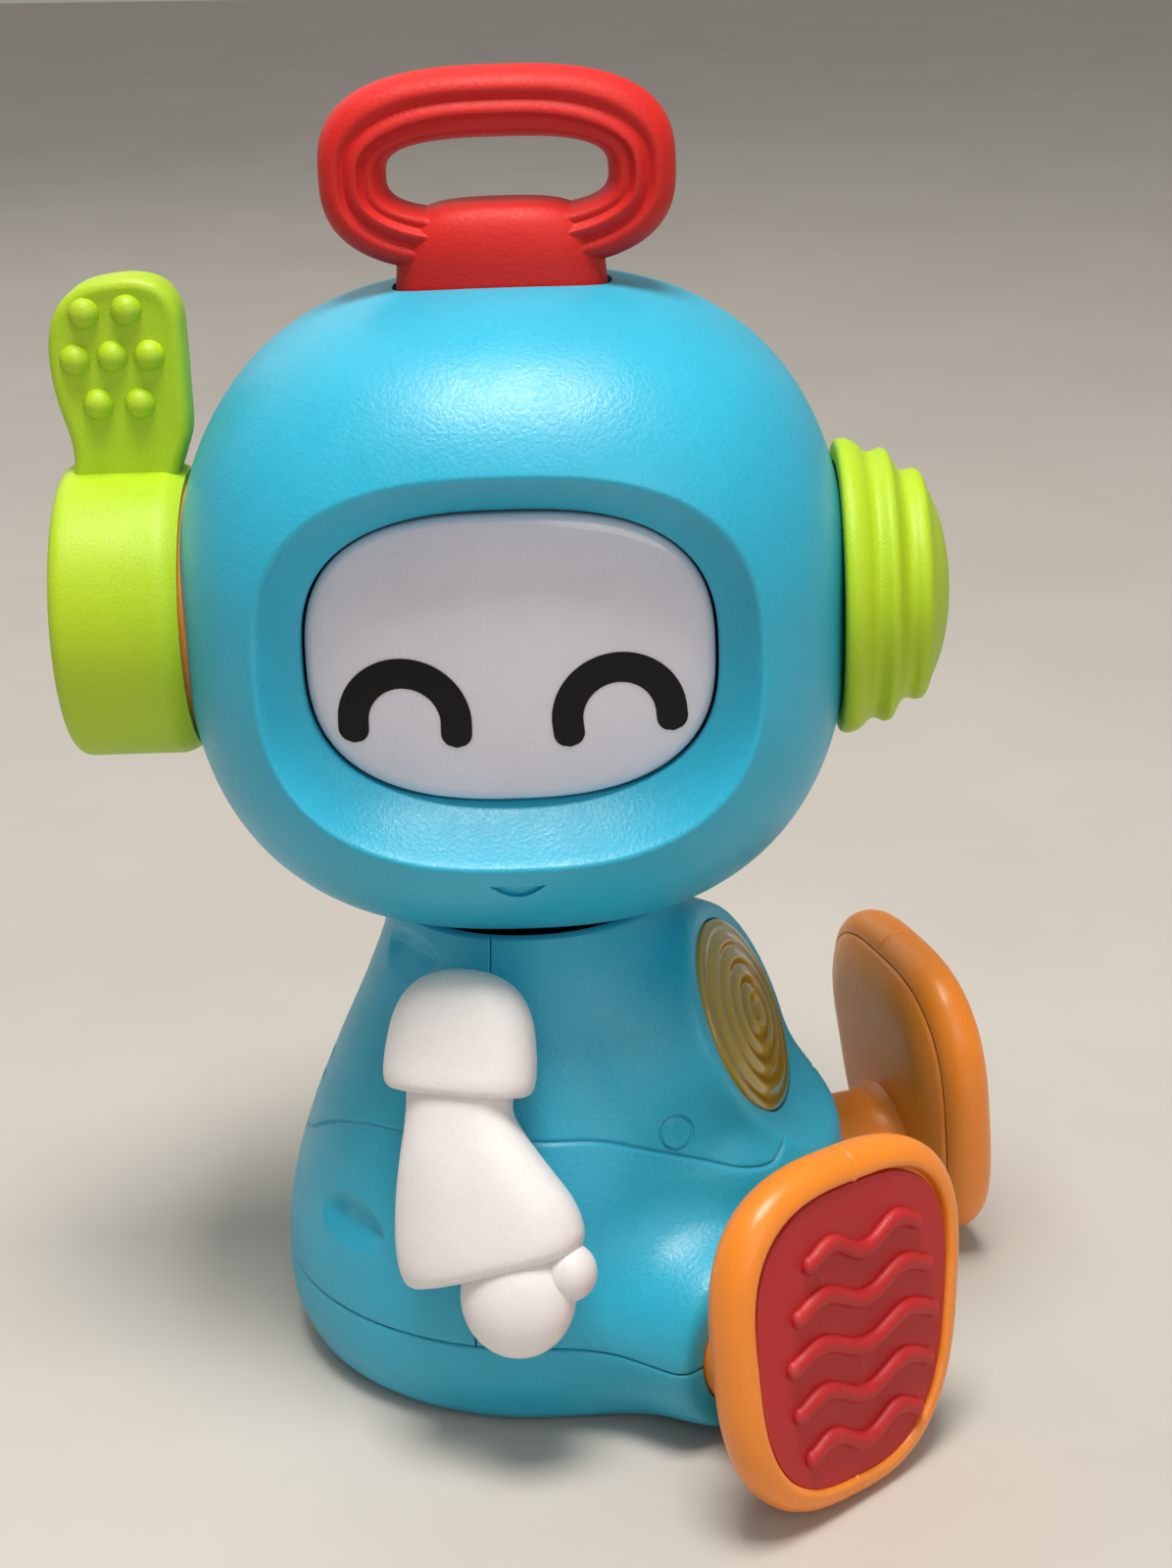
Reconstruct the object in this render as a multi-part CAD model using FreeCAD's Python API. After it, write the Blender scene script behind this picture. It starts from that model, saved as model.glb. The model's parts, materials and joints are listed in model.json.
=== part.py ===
import FreeCAD, Part
import math
import os

# Seated light-and-sound toy robot, in millimetres.
# Row frame: +Z up, the torso faces -Y, the robot's right hand is at -X.
# The origin is on the underside of the base, below the neck's axis.
# Head parts are drawn facing -Y round the ear axis, then yawed and lifted.

V = FreeCAD.Vector
X_AXIS = V(1, 0, 0)
Y_AXIS = V(0, 1, 0)
Z_AXIS = V(0, 0, 1)

# ---- driving dimensions ----
skin = 2.5                   # shell wall
slip = 0.35                  # gap between pieces that turn or slide past each other
fit = 0.05                   # radial clearance of an axle in its bearing
screw_radius = 1.3
screw_head_radius = 2.5

seam_height = 18.5           # joint line of base and torso, and height of the leg axes
torso_top = 90.0
# height, half width, reach to the front, reach to the back
torso_stations = (
    (0.0, 42.5, 42.0, 44.5),
    (6.0, 46.2, 45.2, 48.8),
    (18.5, 47.6, 46.8, 50.2),
    (32.0, 46.2, 46.4, 48.2),
    (46.0, 42.8, 44.6, 43.6),
    (60.0, 37.2, 41.0, 37.6),
    (74.0, 31.2, 34.6, 31.2),
    (84.0, 27.4, 29.0, 27.4),
    (90.0, 26.2, 26.8, 26.2),
)
# height, half width, reach to the front; drawn round a centre inside the torso
belly_stations = (
    (4.0, 20.0, 42.0),
    (12.0, 27.0, 51.0),
    (22.0, 30.5, 56.5),
    (34.0, 32.0, 58.8),
    (46.0, 30.5, 58.8),
    (53.0, 26.5, 56.0),
    (57.0, 21.0, 50.0),
)
belly_middle = 22.0

head_axis_height = 146.5
head_yaw = -75.9             # the stored pose looks to the robot's right
head_half_width = 59.5
head_half_depth = 54.0
head_half_height = 58.0
head_power = 2.5
head_split = 20.0            # plane between the front and back head shells
neck_radius = 14.0
neck_bore_wall = 4.0
neck_flange_radius = 20.0

window_half_width = 34.75
window_half_height = 25.2
window_depth = -36.0         # where the bezel's funnel meets the window
window_gap = 0.45
window_power = 2.7
window_bulge_radius = 125.0
bezel_slope_side = 1.043     # widening per millimetre of depth
bezel_slope_top = 0.703

ear_radius = 26.4
ear_outer_face = 79.9
ear_inner_face = 58.5
ear_wall = 2.4
ear_axle_radius = 4.0
paddle_top = 62.5
paddle_thickness = 9.0
bump_radius = 2.7
click_wheel_x = 39.6
click_wheel_width = 4.0
knob_apex = 77.8
knob_inner_face = 57.6

handle_half_width = 30.7
handle_top = 240.0
handle_half_height = 17.3
grip_half_width = 18.0       # the hole through the ring
grip_half_height = 5.4
handle_depth = 15.0
handle_base_half_width = 18.6
handle_base_half_depth = 9.6
handle_base_top = 217.6
pocket_depth = 4.6

button_centre = V(0, -40.35, 66.26)
button_tilt = 23.4
button_radius = 18.7
button_dome_radius = 90.0
button_dome_height = 3.2

arm_pivot = V(-39.4, 2.0, 77.0)
arm_lean = 22.0              # the arm lies parallel to the flank
arm_half_thickness = 8.0
arm_axle_radius = 3.0
shoulder_boss_depth = 6.0

leg_splay = 33.0
leg_roll_right = 5.75        # the stored pose of the right foot
sole_centre_x = 50.76
sole_centre_y = -71.07
sole_centre_z = 31.0
sole_tilt = 6.2
foot_half_width = 29.0
foot_half_height = 32.0
foot_power = 2.75
foot_taper = 0.10            # the foot is wider at the toe
foot_lift = 2.2              # the foot's middle above the sole's centre
foot_shift = 1.9             # the foot's middle outward of the leg's axis
foot_rim_depth = 5.0
sole_half_width = 24.0
sole_half_height = 27.5
sole_lift = 1.5
sole_depth = 2.0             # recess of the soft sole in the foot's face
leg_radius = 11.5
leg_reach = 38.0             # from the sole to the shoulder of the leg
leg_axle_radius = 5.0
hip_mouth = 27.0             # from the sole to the thigh's open end
hip_bearing_length = 8.5

cell_radius = 5.25
cell_length = 44.5
battery_box_height = 15.0


# ---- drawing helpers ----
def superellipse_points(half_width, front, back, power, count=32):
    points = []
    for i in range(count):
        angle = 2 * math.pi * (i + 0.37) / count
        c = math.cos(angle)
        s = math.sin(angle)
        x = half_width * math.copysign(abs(c) ** (2 / power), c)
        reach = back if s > 0 else front
        points.append((x, reach * math.copysign(abs(s) ** (2 / power), s)))
    return points


def closed_wire(points):
    curve = Part.BSplineCurve()
    curve.interpolate(points, True)
    return Part.Wire([curve.toShape()])


def level_wire(half_width, front, back, z, power=2.0):
    return closed_wire([V(x, y, z) for x, y in superellipse_points(half_width, front, back, power)])


def upright_wire(half_width, half_height, y, power, taper=0.0, centre_z=0.0):
    points = []
    for x, z in superellipse_points(half_width, half_height, half_height, power):
        points.append(V(x * (1 + taper * z / half_height), y, z + centre_z))
    return closed_wire(points)


def loft(wires, ruled=False):
    return Part.makeLoft(wires, True, ruled)


def disc(radius, height, base, axis=Z_AXIS):
    return Part.makeCylinder(radius, height, base, axis)


def ring(outer, inner, height, base, axis=Z_AXIS):
    long_inner = disc(inner, height + 2, base - axis, axis)
    return disc(outer, height, base, axis).cut(long_inner)


def block(x0, x1, y0, y1, z0, z1):
    return Part.makeBox(x1 - x0, y1 - y0, z1 - z0, V(x0, y0, z0))


def ellipsoid(centre, reach):
    matrix = FreeCAD.Matrix()
    matrix.scale(reach)
    matrix.move(centre)
    return Part.makeSphere(1.0).transformGeometry(matrix)


def join(shapes):
    return shapes[0].fuse(shapes[1:])


def remove(shape, tools):
    for tool in tools:
        shape = shape.cut(tool)
    return shape


def placed(shape, placement):
    copy = shape.copy()
    copy.Placement = placement.multiply(copy.Placement)
    return copy


def mirrored(shape):
    return shape.mirror(V(0, 0, 0), X_AXIS)


def screw(head_base, axis, length):
    """A pan-head screw: its head lies on the axis side of head_base."""
    head = disc(screw_head_radius, 1.8, head_base, axis)
    slot = disc(1.1, 1.0, head_base + axis * 0.8, axis)
    shank = disc(screw_radius, length, head_base - axis * length, axis)
    return head.cut(slot).fuse(shank)


def export(name, shape):
    solids = shape.Solids
    out = solids[0] if len(solids) == 1 else Part.makeCompound(solids)
    out.exportStep(os.path.join("parts", name + ".step"))


# ---- torso ----
def torso_form(inset):
    wires = []
    for z, half_width, front, back in torso_stations:
        level = z
        if z == 0.0:
            level = inset
        wires.append(level_wire(half_width - inset, front - inset, back - inset, level))
    return loft(wires)


def belly_form(inset):
    wires = []
    for z, half_width, front in belly_stations:
        wire = level_wire(half_width - inset, front - belly_middle - inset, 14.0, z, 2.4)
        wire.translate(V(0, -belly_middle, 0))
        wires.append(wire)
    return loft(wires)


def leg_placement(side):
    """Places a piece drawn at the sole's centre, facing -Y, with the body behind it at +Y."""
    spot = V(side * sole_centre_x, sole_centre_y, sole_centre_z)
    return FreeCAD.Placement(spot, FreeCAD.Rotation(Z_AXIS, side * leg_splay))


def leg_axis_z():
    return seam_height - sole_centre_z


def leg_placed(shape, side):
    return placed(shape, leg_placement(side))


def hip_boss():
    """The thigh bulge round one leg, in the leg's own frame."""
    return Part.makeCone(leg_radius + 5.0, 21.0, 24.0, V(0, hip_mouth, leg_axis_z()), Y_AXIS)


def hip_bore():
    axis_z = leg_axis_z()
    wide = disc(leg_radius + slip, leg_reach + slip - 20.0, V(0, 20.0, axis_z), Y_AXIS)
    narrow = disc(leg_axle_radius + fit, 14.0, V(0, leg_reach, axis_z), Y_AXIS)
    return wide.fuse(narrow)


def button_place():
    turn = FreeCAD.Rotation(X_AXIS, 90.0 - button_tilt)
    return FreeCAD.Placement(button_centre, turn)


def button_boss():
    return placed(Part.makeCone(28.0, button_radius + 3.8, 17.0, V(0, 0, -16.0)), button_place())


def arm_place(side):
    """Local Z points out of the flank, local Y to the back and local X up the flank."""
    spot = V(side * -arm_pivot.x, arm_pivot.y, arm_pivot.z)
    lean = math.radians(arm_lean)
    out = V(side * math.cos(lean), 0, math.sin(lean))
    up = V(-side * math.sin(lean), 0, math.cos(lean))
    third = out.cross(up)
    return FreeCAD.Placement(spot, FreeCAD.Rotation(up, third, out, "ZXY"))


def torso_solid():
    """The torso's outer form, filled, before it is hollowed and split."""
    outer = join([torso_form(0.0), belly_form(0.0), button_boss()]
                 + [leg_placed(hip_boss(), side) for side in (-1, 1)])
    return outer.common(block(-90, 90, -90, 90, 0, torso_top))


def torso_cavity():
    room = block(-90, 90, -90, 90, skin, torso_top + 1)
    return torso_form(skin).common(room).fuse(belly_form(skin).common(room))


def hip_housing(side):
    """The solid round the leg's bore, half in the torso's front shell and half in the base."""
    length = leg_reach + hip_bearing_length - hip_mouth - 0.5
    return leg_placed(disc(leg_radius + 3.0, length, V(0, hip_mouth + 0.5, leg_axis_z()), Y_AXIS), side)


def shoulder_boss(side):
    depth = arm_half_thickness + slip + shoulder_boss_depth
    return placed(disc(9.5, shoulder_boss_depth, V(0, 0, -depth)), arm_place(side))


def shoulder_bore(side):
    flange_room = disc(6.0, 6.0, V(0, 0, -arm_half_thickness - slip - shoulder_boss_depth - 6.0))
    return placed(disc(arm_axle_radius + fit, 24.0, V(0, 0, -24.0)).fuse(flange_room), arm_place(side))


def screw_post(x, y, z0, z1, radius=4.0):
    return disc(radius, z1 - z0, V(x, y, z0))


def wall_post(x, y):
    """A screw post above the seam, widened outward until it meets the shell's wall."""
    post = screw_post(x, y, seam_height, post_top)
    return post.fuse(screw_post(x * post_reach, y * post_reach, seam_height, post_top))


base_post_spots = ((33.5, 19.5), (-33.5, 19.5), (0.0, -37.0))
post_top = 30.0
post_reach = 1.1


def build_torso(outer):
    walls = outer.cut(torso_cavity())
    above = block(-90, 90, -90, 90, seam_height, 200)
    front_room = block(-90, 90, -90, 0, seam_height, 200)
    back_room = block(-90, 90, 0, 90, seam_height, 200)
    base_room = block(-90, 90, -90, 90, -1, seam_height)
    housings = [hip_housing(side).common(outer) for side in (-1, 1)]
    hip_bores = [leg_placed(hip_bore(), side) for side in (-1, 1)]
    bosses = [shoulder_boss(side) for side in (-1, 1)]
    shelf = neck_shelf()
    front_posts = [screw_post(x, y, seam_height, post_top) for x, y in base_post_spots if y < 0]
    back_posts = [wall_post(x, y).common(outer) for x, y in base_post_spots if y > 0]
    rib = block(-1.2, 1.2, -70.0, -34.0, seam_height, post_top).common(outer)
    base_posts = [screw_post(x, y, 1.0, seam_height) for x, y in base_post_spots]
    pilots = [disc(screw_radius + 0.02, post_top, V(x, y, 0)) for x, y in base_post_spots]
    shoulders = [shoulder_bore(side) for side in (-1, 1)]

    front = join([walls.common(front_room)] + [h.common(above) for h in housings]
                 + [b.common(front_room) for b in bosses + [shelf]])
    hole = placed(disc(button_radius + slip, 40.0, V(0, 0, -8.0)), button_place())
    well = placed(disc(button_radius - 1.0, 40.0, V(0, 0, -26.0)), button_place())
    front = remove(front.fuse(front_posts + [rib]), hip_bores + shoulders + pilots + [hole, well])

    base_posts = [post.common(outer) for post in base_posts]
    back = join([walls.common(back_room)] + back_posts + [b.common(back_room) for b in bosses + [shelf]])
    back = remove(back, shoulders + pilots)

    base = join([walls.common(base_room)] + [h.common(base_room) for h in housings] + base_posts)
    clearances = [disc(screw_radius + 0.2, 30.0, V(x, y, -1)) for x, y in base_post_spots]
    counterbores = [disc(screw_head_radius + 0.3, 6.0, V(x, y, -1)) for x, y in base_post_spots]
    base = remove(base, hip_bores + clearances + counterbores)
    return front, back, base


neck_shelf_z = 74.0
neck_shelf_thickness = 4.0


def neck_shelf():
    z = neck_shelf_z
    plate = ring(26.5, neck_radius + 1.2, neck_shelf_thickness, V(0, 0, z))
    return plate.common(torso_form(skin / 2))


def build_neck_parts():
    export("neck_bearing", ring(20.5, neck_radius + fit, 6.0, V(0, 0, neck_shelf_z + neck_shelf_thickness)))


# ---- battery box and switch in the base ----
door_half_width = 20.0
door_front = -24.5
door_back = 35.0
door_thickness = 1.6
door_gap = 0.3
door_screw_y = -20.5
door_post_radius = 3.6
box_front = -16.5
box_wall = 1.8
box_half_width = 17.2
switch_y = -29.5
switch_travel = 4.0


def build_base_parts(base):
    box_back = box_front + cell_length + 4.0
    box_top = skin + battery_box_height
    outer_x = box_half_width + box_wall
    tray = block(-outer_x, outer_x, box_front - box_wall, box_back + box_wall, skin, box_top)
    opening = block(-box_half_width, box_half_width, box_front, box_back, -1, box_top - box_wall)
    seat = block(-door_half_width - door_gap, door_half_width + door_gap, door_front - door_gap,
                 door_back + door_gap, -1, door_thickness)
    screw_base = screw_post(0, door_screw_y, 1.0, 10.0, door_post_radius)
    screw_base = screw_base.cut(disc(screw_radius, 12.0, V(0, door_screw_y, -1)))
    slot = block(-5.0, 5.0, switch_y - 2.4, switch_y + 2.4, -1, skin + 1)
    recess = block(-7.5, 7.5, switch_y - 3.4, switch_y + 3.4, -1, 0.9)
    post_room = disc(door_post_radius, 5.0, V(0, door_screw_y, -1))
    base = remove(base.fuse(tray), [opening, slot, recess, post_room])
    base = base.fuse(screw_base).cut(seat)
    build_door()
    build_cells(box_back)
    knob_x = -switch_travel / 2
    knob = block(knob_x - 2.6, knob_x + 2.6, switch_y - 1.9, switch_y + 1.9, 0.4, skin + 1.4)
    slide = block(knob_x - 8.0, knob_x + 8.0, switch_y - 3.2, switch_y + 3.2, skin + 0.3, skin + 1.4)
    export("power_switch", knob.fuse(slide))
    return base


def build_door():
    door = block(-door_half_width, door_half_width, door_front, door_back, 0, door_thickness)
    door = door.cut(disc(screw_head_radius + 0.1, 0.9, V(0, door_screw_y, -0.1)))
    door = door.cut(disc(screw_radius + 0.1, 5.0, V(0, door_screw_y, -1)))
    for i in range(3):
        grip_y = door_back - 5.0 - 2 * i
        door = door.cut(block(-6, 6, grip_y - 1, grip_y, -1, 0.5))
    export("battery_door", door)
    head = disc(screw_head_radius - 0.1, 0.7, V(0, door_screw_y, 0.1))
    export("battery_door_screw", head.fuse(disc(screw_radius - 0.02, 7.0, V(0, door_screw_y, 0.8))))


def build_cells(box_back):
    cells = []
    contacts = []
    z = door_thickness + 0.3 + cell_radius
    for i in (-1, 0, 1):
        x = i * (2 * cell_radius + 0.5)
        can = disc(cell_radius, cell_length - 1.2, V(x, box_front + 1.6, z), Y_AXIS)
        cells.append(can.fuse(disc(1.9, 1.2, V(x, box_front + 0.4 + cell_length, z), Y_AXIS)))
        contacts.append(block(x - 4, x + 4, box_front + 0.1, box_front + 0.5, z - 4, z + 4))
        contacts.append(block(x - 4, x + 4, box_back - 0.5, box_back - 0.1, z - 4, z + 4))
    export("battery_cells", Part.makeCompound(cells))
    export("battery_contacts", Part.makeCompound(contacts))


# ---- circuit board and speaker ----
board_height = 30.0
board_thickness = 1.6
board_post_spots = ((16.0, 18.0), (-16.0, 18.0))
speaker_height = 52.0
speaker_radius = 15.0
speaker_rear = 26.0
slot_field_radius = 12.0     # speaker slots fill a round field in the back
slot_pitch = 4.4
slot_width = 1.8


def build_board():
    board = disc(30.0, board_thickness, V(0, 4.0, board_height)).common(block(-24, 24, -22, 30, 0, 200))
    board = remove(board, [disc(1.6, 4, V(x, y, board_height - 1)) for x, y in board_post_spots])
    export("main_board", board)
    board_top = board_height + board_thickness
    chip = block(-6, 6, -4, 8, board_top, board_top + 1.8)
    cap = disc(3.0, 8.0, V(14, 2, board_top))
    export("board_parts", Part.makeCompound([chip, cap]))
    tray_top = skin + battery_box_height
    posts = [ring(2.6, 1.1, board_height - tray_top, V(x, y, tray_top)) for x, y in board_post_spots]
    export("board_posts", Part.makeCompound(posts))


def build_speaker():
    """Basket at the back, cone and magnet towards the torso's middle."""
    forward = V(0, -1, 0)
    basket = disc(speaker_radius, 2.0, V(0, speaker_rear, speaker_height), forward)
    cone = Part.makeCone(speaker_radius - 1.0, 9.0, 6.0, V(0, speaker_rear - 2.0, speaker_height), forward)
    magnet = disc(8.0, 5.0, V(0, speaker_rear - 8.0, speaker_height), forward)
    export("speaker", join([cone, basket, magnet]))


def speaker_frame():
    start = V(0, speaker_rear - 1.0, speaker_height)
    sleeve = ring(speaker_radius + 2.0, speaker_radius + fit, 25.0, start, Y_AXIS)
    return sleeve.common(torso_form(skin / 2))


def speaker_slots():
    slots = []
    for i in range(-2, 3):
        half = math.sqrt(slot_field_radius ** 2 - (slot_pitch * i) ** 2)
        middle = speaker_height + slot_pitch * i
        slots.append(block(-half, half, 30.0, 60.0, middle - slot_width / 2, middle + slot_width / 2))
    return slots


# ---- chest button ----
spring_wire = 0.5
button_card_top = -20.4      # along the button's axis, from its rim


def build_button():
    place = button_place()
    dome = Part.makeSphere(button_dome_radius, V(0, 0, button_dome_height - button_dome_radius))
    cap = disc(button_radius, 12.0, V(0, 0, -5.0)).common(dome)
    cap = cap.cut(disc(button_radius - 2.0, 5.2, V(0, 0, -5.1)))
    for radius in (4.0, 7.5, 11.0, 14.5):
        dome_drop = radius * radius / (2 * button_dome_radius)
        cap = cap.cut(Part.makeTorus(radius, 0.6, V(0, 0, button_dome_height + 0.35 - dome_drop)))
    export("chest_button_lens", placed(cap, place))
    carrier = disc(button_radius - 3.6, 2.0, V(0, 0, -7.0))
    carrier = carrier.fuse(ring(button_radius - 2.05, 8.0, 1.9, V(0, 0, -5.0)).cut(disc(8.0, 9, V(0, 0, -6))))
    carrier = carrier.fuse(disc(3.5, 8.0, V(0, 0, -15.0)))
    export("button_plunger", placed(carrier, place))
    plate = disc(17.5, 1.6, V(0, 0, -13.4)).cut(disc(3.5 + fit, 8.0, V(0, 0, -16.0)))
    export("button_bracket", placed(plate, place))
    export("button_spring", placed(button_spring(), place))
    card = disc(12.0, 1.2, V(0, 0, button_card_top - 1.2))
    export("button_board", placed(card, place))
    tact = block(-3.0, 3.0, -3.0, 3.0, button_card_top, button_card_top + 2.2)
    tact = tact.fuse(disc(1.6, 0.4, V(0, 0, button_card_top + 2.2)))
    export("button_contact", placed(tact, place))
    posts = [disc(1.4, 7.0, around(9.5, degrees)) for degrees in (90, 210, 330)]
    export("button_standoffs", placed(Part.makeCompound(posts), place))
    leds = [disc(1.5, 1.6, around(6.5, degrees)) for degrees in (17, 137, 258)]
    export("button_leds", placed(Part.makeCompound(leds), place))


def around(radius, degrees):
    """A spot on the button's card."""
    angle = math.radians(degrees)
    return V(radius * math.cos(angle), radius * math.sin(angle), button_card_top)


def button_spring():
    """A conical spring drawn pressed together, as two touching turns of wire."""
    lower = Part.makeTorus(5.6, spring_wire, V(0, 0, -11.25))
    upper = Part.makeTorus(4.4, spring_wire, V(0, 0, -10.55))
    return lower.fuse(upper)


# ---- head ----
def head_placement():
    return FreeCAD.Placement(V(0, 0, head_axis_height), FreeCAD.Rotation(Z_AXIS, head_yaw))


def head_export(name, shape):
    export(name, placed(shape, head_placement()))


def head_form(inset):
    wires = []
    width = head_half_width - inset
    depth = head_half_depth - inset
    height = head_half_height - inset
    for degrees in (-80, -70, -58, -44, -30, -15, 0, 15, 30, 44, 58, 70, 80):
        angle = math.radians(degrees)
        s = math.sin(angle)
        z = height * math.copysign(abs(s) ** (2 / head_power), s)
        share = math.cos(angle) ** (2 / head_power)
        wires.append(level_wire(width * share, depth * share, depth * share, z, head_power))
    return loft(wires)


def funnel(grow, near_y, far_y):
    """The bezel's tapering opening; grow widens it all round."""
    wires = []
    for y in (near_y, far_y):
        out = max(0.0, window_depth - y)
        wires.append(upright_wire(window_half_width + window_gap + grow + bezel_slope_side * out,
                                  window_half_height + window_gap + grow + bezel_slope_top * out,
                                  y, window_power))
    return loft(wires, True)


panel_back = -33.4


def head_pocket(grow, z0, z1):
    return loft([level_wire(handle_base_half_width + grow, handle_base_half_depth + grow,
                            handle_base_half_depth + grow, z, 2.6) for z in (z0, z1)], True)


def ear_boss(side):
    return disc(9.0, 14.0, V(side * (head_half_width - skin - 13.0), 0, 0), X_AXIS * side)


def build_head():
    outer = head_form(0.0)
    shell = outer.cut(head_form(skin))
    bezel = funnel(skin, -56.0, window_depth).common(outer)
    lip = funnel(skin, window_depth, panel_back)
    pocket_top = handle_top - head_axis_height
    floor_z = head_half_height - pocket_depth
    well = head_pocket(2.2, floor_z - 2.6, pocket_top).common(outer)
    bosses = [ear_boss(side).common(outer) for side in (-1, 1)]
    floor_ring = ring(24.0, neck_radius + fit, 3.0, V(0, 0, -head_half_height + skin + 0.2)).common(outer)
    shell = join([shell, bezel, lip, well, floor_ring] + bosses)
    bottom = 88.6 - head_axis_height
    cuts = [funnel(0.0, -75.0, window_depth), funnel(0.0, window_depth - 0.1, panel_back + 1.0)]
    cuts.append(head_pocket(0.5, floor_z, pocket_top))
    cuts.append(disc(neck_radius + fit, 12.0, V(0, 0, bottom - 3)))
    for side in (-1, 1):
        cuts.append(disc(ear_axle_radius + fit, 40.0, V(side * 40.0, 0, 0), X_AXIS * side))
    for x in (-9.0, 9.0):
        cuts.append(disc(screw_radius + 0.15, 8.0, V(x, 0, floor_z - 5.0)))
    shell = remove(shell, cuts)
    front = shell.common(block(-90, 90, -90, head_split, -90, 90))
    back = shell.common(block(-90, 90, head_split, 90, -90, 90))
    posts = []
    for x, z in ((-34.0, 24.0), (34.0, 24.0), (-34.0, -24.0), (34.0, -24.0)):
        sleeve = disc(4.0, 40.0, V(x, head_split, z), Y_AXIS).common(head_form(skin / 2))
        back = back.fuse(sleeve)
        back = back.cut(disc(screw_radius + 0.2, 60.0, V(x, head_split - 1, z), Y_AXIS))
        back = back.cut(disc(screw_head_radius + 0.3, 40.0, V(x, head_split + 6.0, z), Y_AXIS))
        front = front.fuse(disc(4.0, 10.0, V(x, head_split - 10.0, z), Y_AXIS))
        rib = block(min(x, 1.7 * x), max(x, 1.7 * x), head_split - 8.0, head_split - 1.0, z - 1.2, z + 1.2)
        front = front.fuse(rib.common(head_form(skin / 2)))
        front = front.cut(disc(screw_radius + 0.02, 9.0, V(x, head_split - 8.9, z), Y_AXIS))
        posts.append(screw(V(x, head_split + 6.0, z), Y_AXIS, 13.0))
    head_export("head_front_shell", front)
    head_export("head_back_shell", back)
    head_export("head_screws", Part.makeCompound(posts))


def build_face():
    centre = V(0, window_depth - 4.2 + window_bulge_radius, 0)
    outer_ball = Part.makeSphere(window_bulge_radius, centre)
    inner_ball = Part.makeSphere(window_bulge_radius - 2.2, centre)
    glass = loft([upright_wire(window_half_width, window_half_height, y, window_power)
                  for y in (-50.0, panel_back + 0.1)], True)
    hollow = loft([upright_wire(window_half_width - 2.0, window_half_height - 2.0, y, window_power)
                   for y in (-50.0, panel_back + 3.0)], True)
    flange = loft([upright_wire(window_half_width + 2.6, window_half_height + 2.6, y, window_power)
                   for y in (panel_back + 0.05, panel_back + 2.0)], True)
    panel = glass.common(outer_ball).fuse(flange)
    head_export("face_panel", panel.cut(hollow.common(inner_ball)))
    board = loft([upright_wire(32.0, 22.0, y, 3.0) for y in (panel_back + 2.0, panel_back + 3.6)], True)
    head_export("face_board", board)
    leds = [disc(2.0, 2.4, V(x, panel_back + 2.0, z), V(0, -1, 0))
            for x in (-20.0, 0.0, 20.0) for z in (-9.0, 9.0)]
    head_export("face_leds", Part.makeCompound(leds))


def build_neck_tube():
    top = -head_half_height + skin + 3.2 + 0.1
    bottom = 70.6 - head_axis_height
    tube = disc(neck_radius, top + 2.0 - bottom, V(0, 0, bottom))
    tube = tube.fuse(disc(neck_flange_radius, 2.4, V(0, 0, top)))
    tube = tube.cut(disc(neck_radius - neck_bore_wall, 60.0, V(0, 0, bottom - 1)))
    head_export("neck_tube", tube)
    keeper_z = neck_shelf_z - slip - 3.0 - head_axis_height
    tube_end = disc(neck_radius + 0.02, 40.0, V(0, 0, bottom))
    keeper = disc(neck_radius + 4.5, 3.0, V(0, 0, keeper_z)).cut(tube_end)
    head_export("neck_keeper", keeper)


# ---- handle ----
def handle_ring_form():
    centre_z = handle_top - handle_half_height - head_axis_height
    half_depth = handle_depth / 2
    outer = loft([upright_wire(handle_half_width, handle_half_height, y, 2.7, 0, centre_z)
                  for y in (-half_depth, half_depth)], True)
    inner = loft([upright_wire(grip_half_width, grip_half_height, y, 2.3, 0, centre_z)
                  for y in (-half_depth - 1, half_depth + 1)], True)
    body = outer.cut(inner)
    return body.makeFillet(5.5, [e for e in body.Edges if e.Length > 60.0])


def build_handle():
    z0 = head_half_height - pocket_depth
    top = handle_base_top - head_axis_height
    stations = (
        (z0, 1.0),
        (z0 + 7.0, 0.99),
        (top - 8.0, 0.93),
        (top - 3.0, 0.84),
        (top - 0.8, 0.62),
        (top, 0.3),
    )
    base = loft([level_wire(handle_base_half_width * share, handle_base_half_depth * share,
                            handle_base_half_depth * share, z, 2.6) for z, share in stations])
    body = join([handle_ring_form(), base])
    for x in (-9.0, 9.0):
        body = body.cut(disc(screw_radius + 0.02, 9.0, V(x, 0, z0 - 0.5)))
    head_export("handle", body)
    screws = [screw(V(x, 0, z0 - 2.6), V(0, 0, -1), 8.0) for x in (-9.0, 9.0)]
    head_export("handle_screws", Part.makeCompound([s.cut(disc(9, 9, V(0, 0, 90))) for s in screws]))


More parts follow.
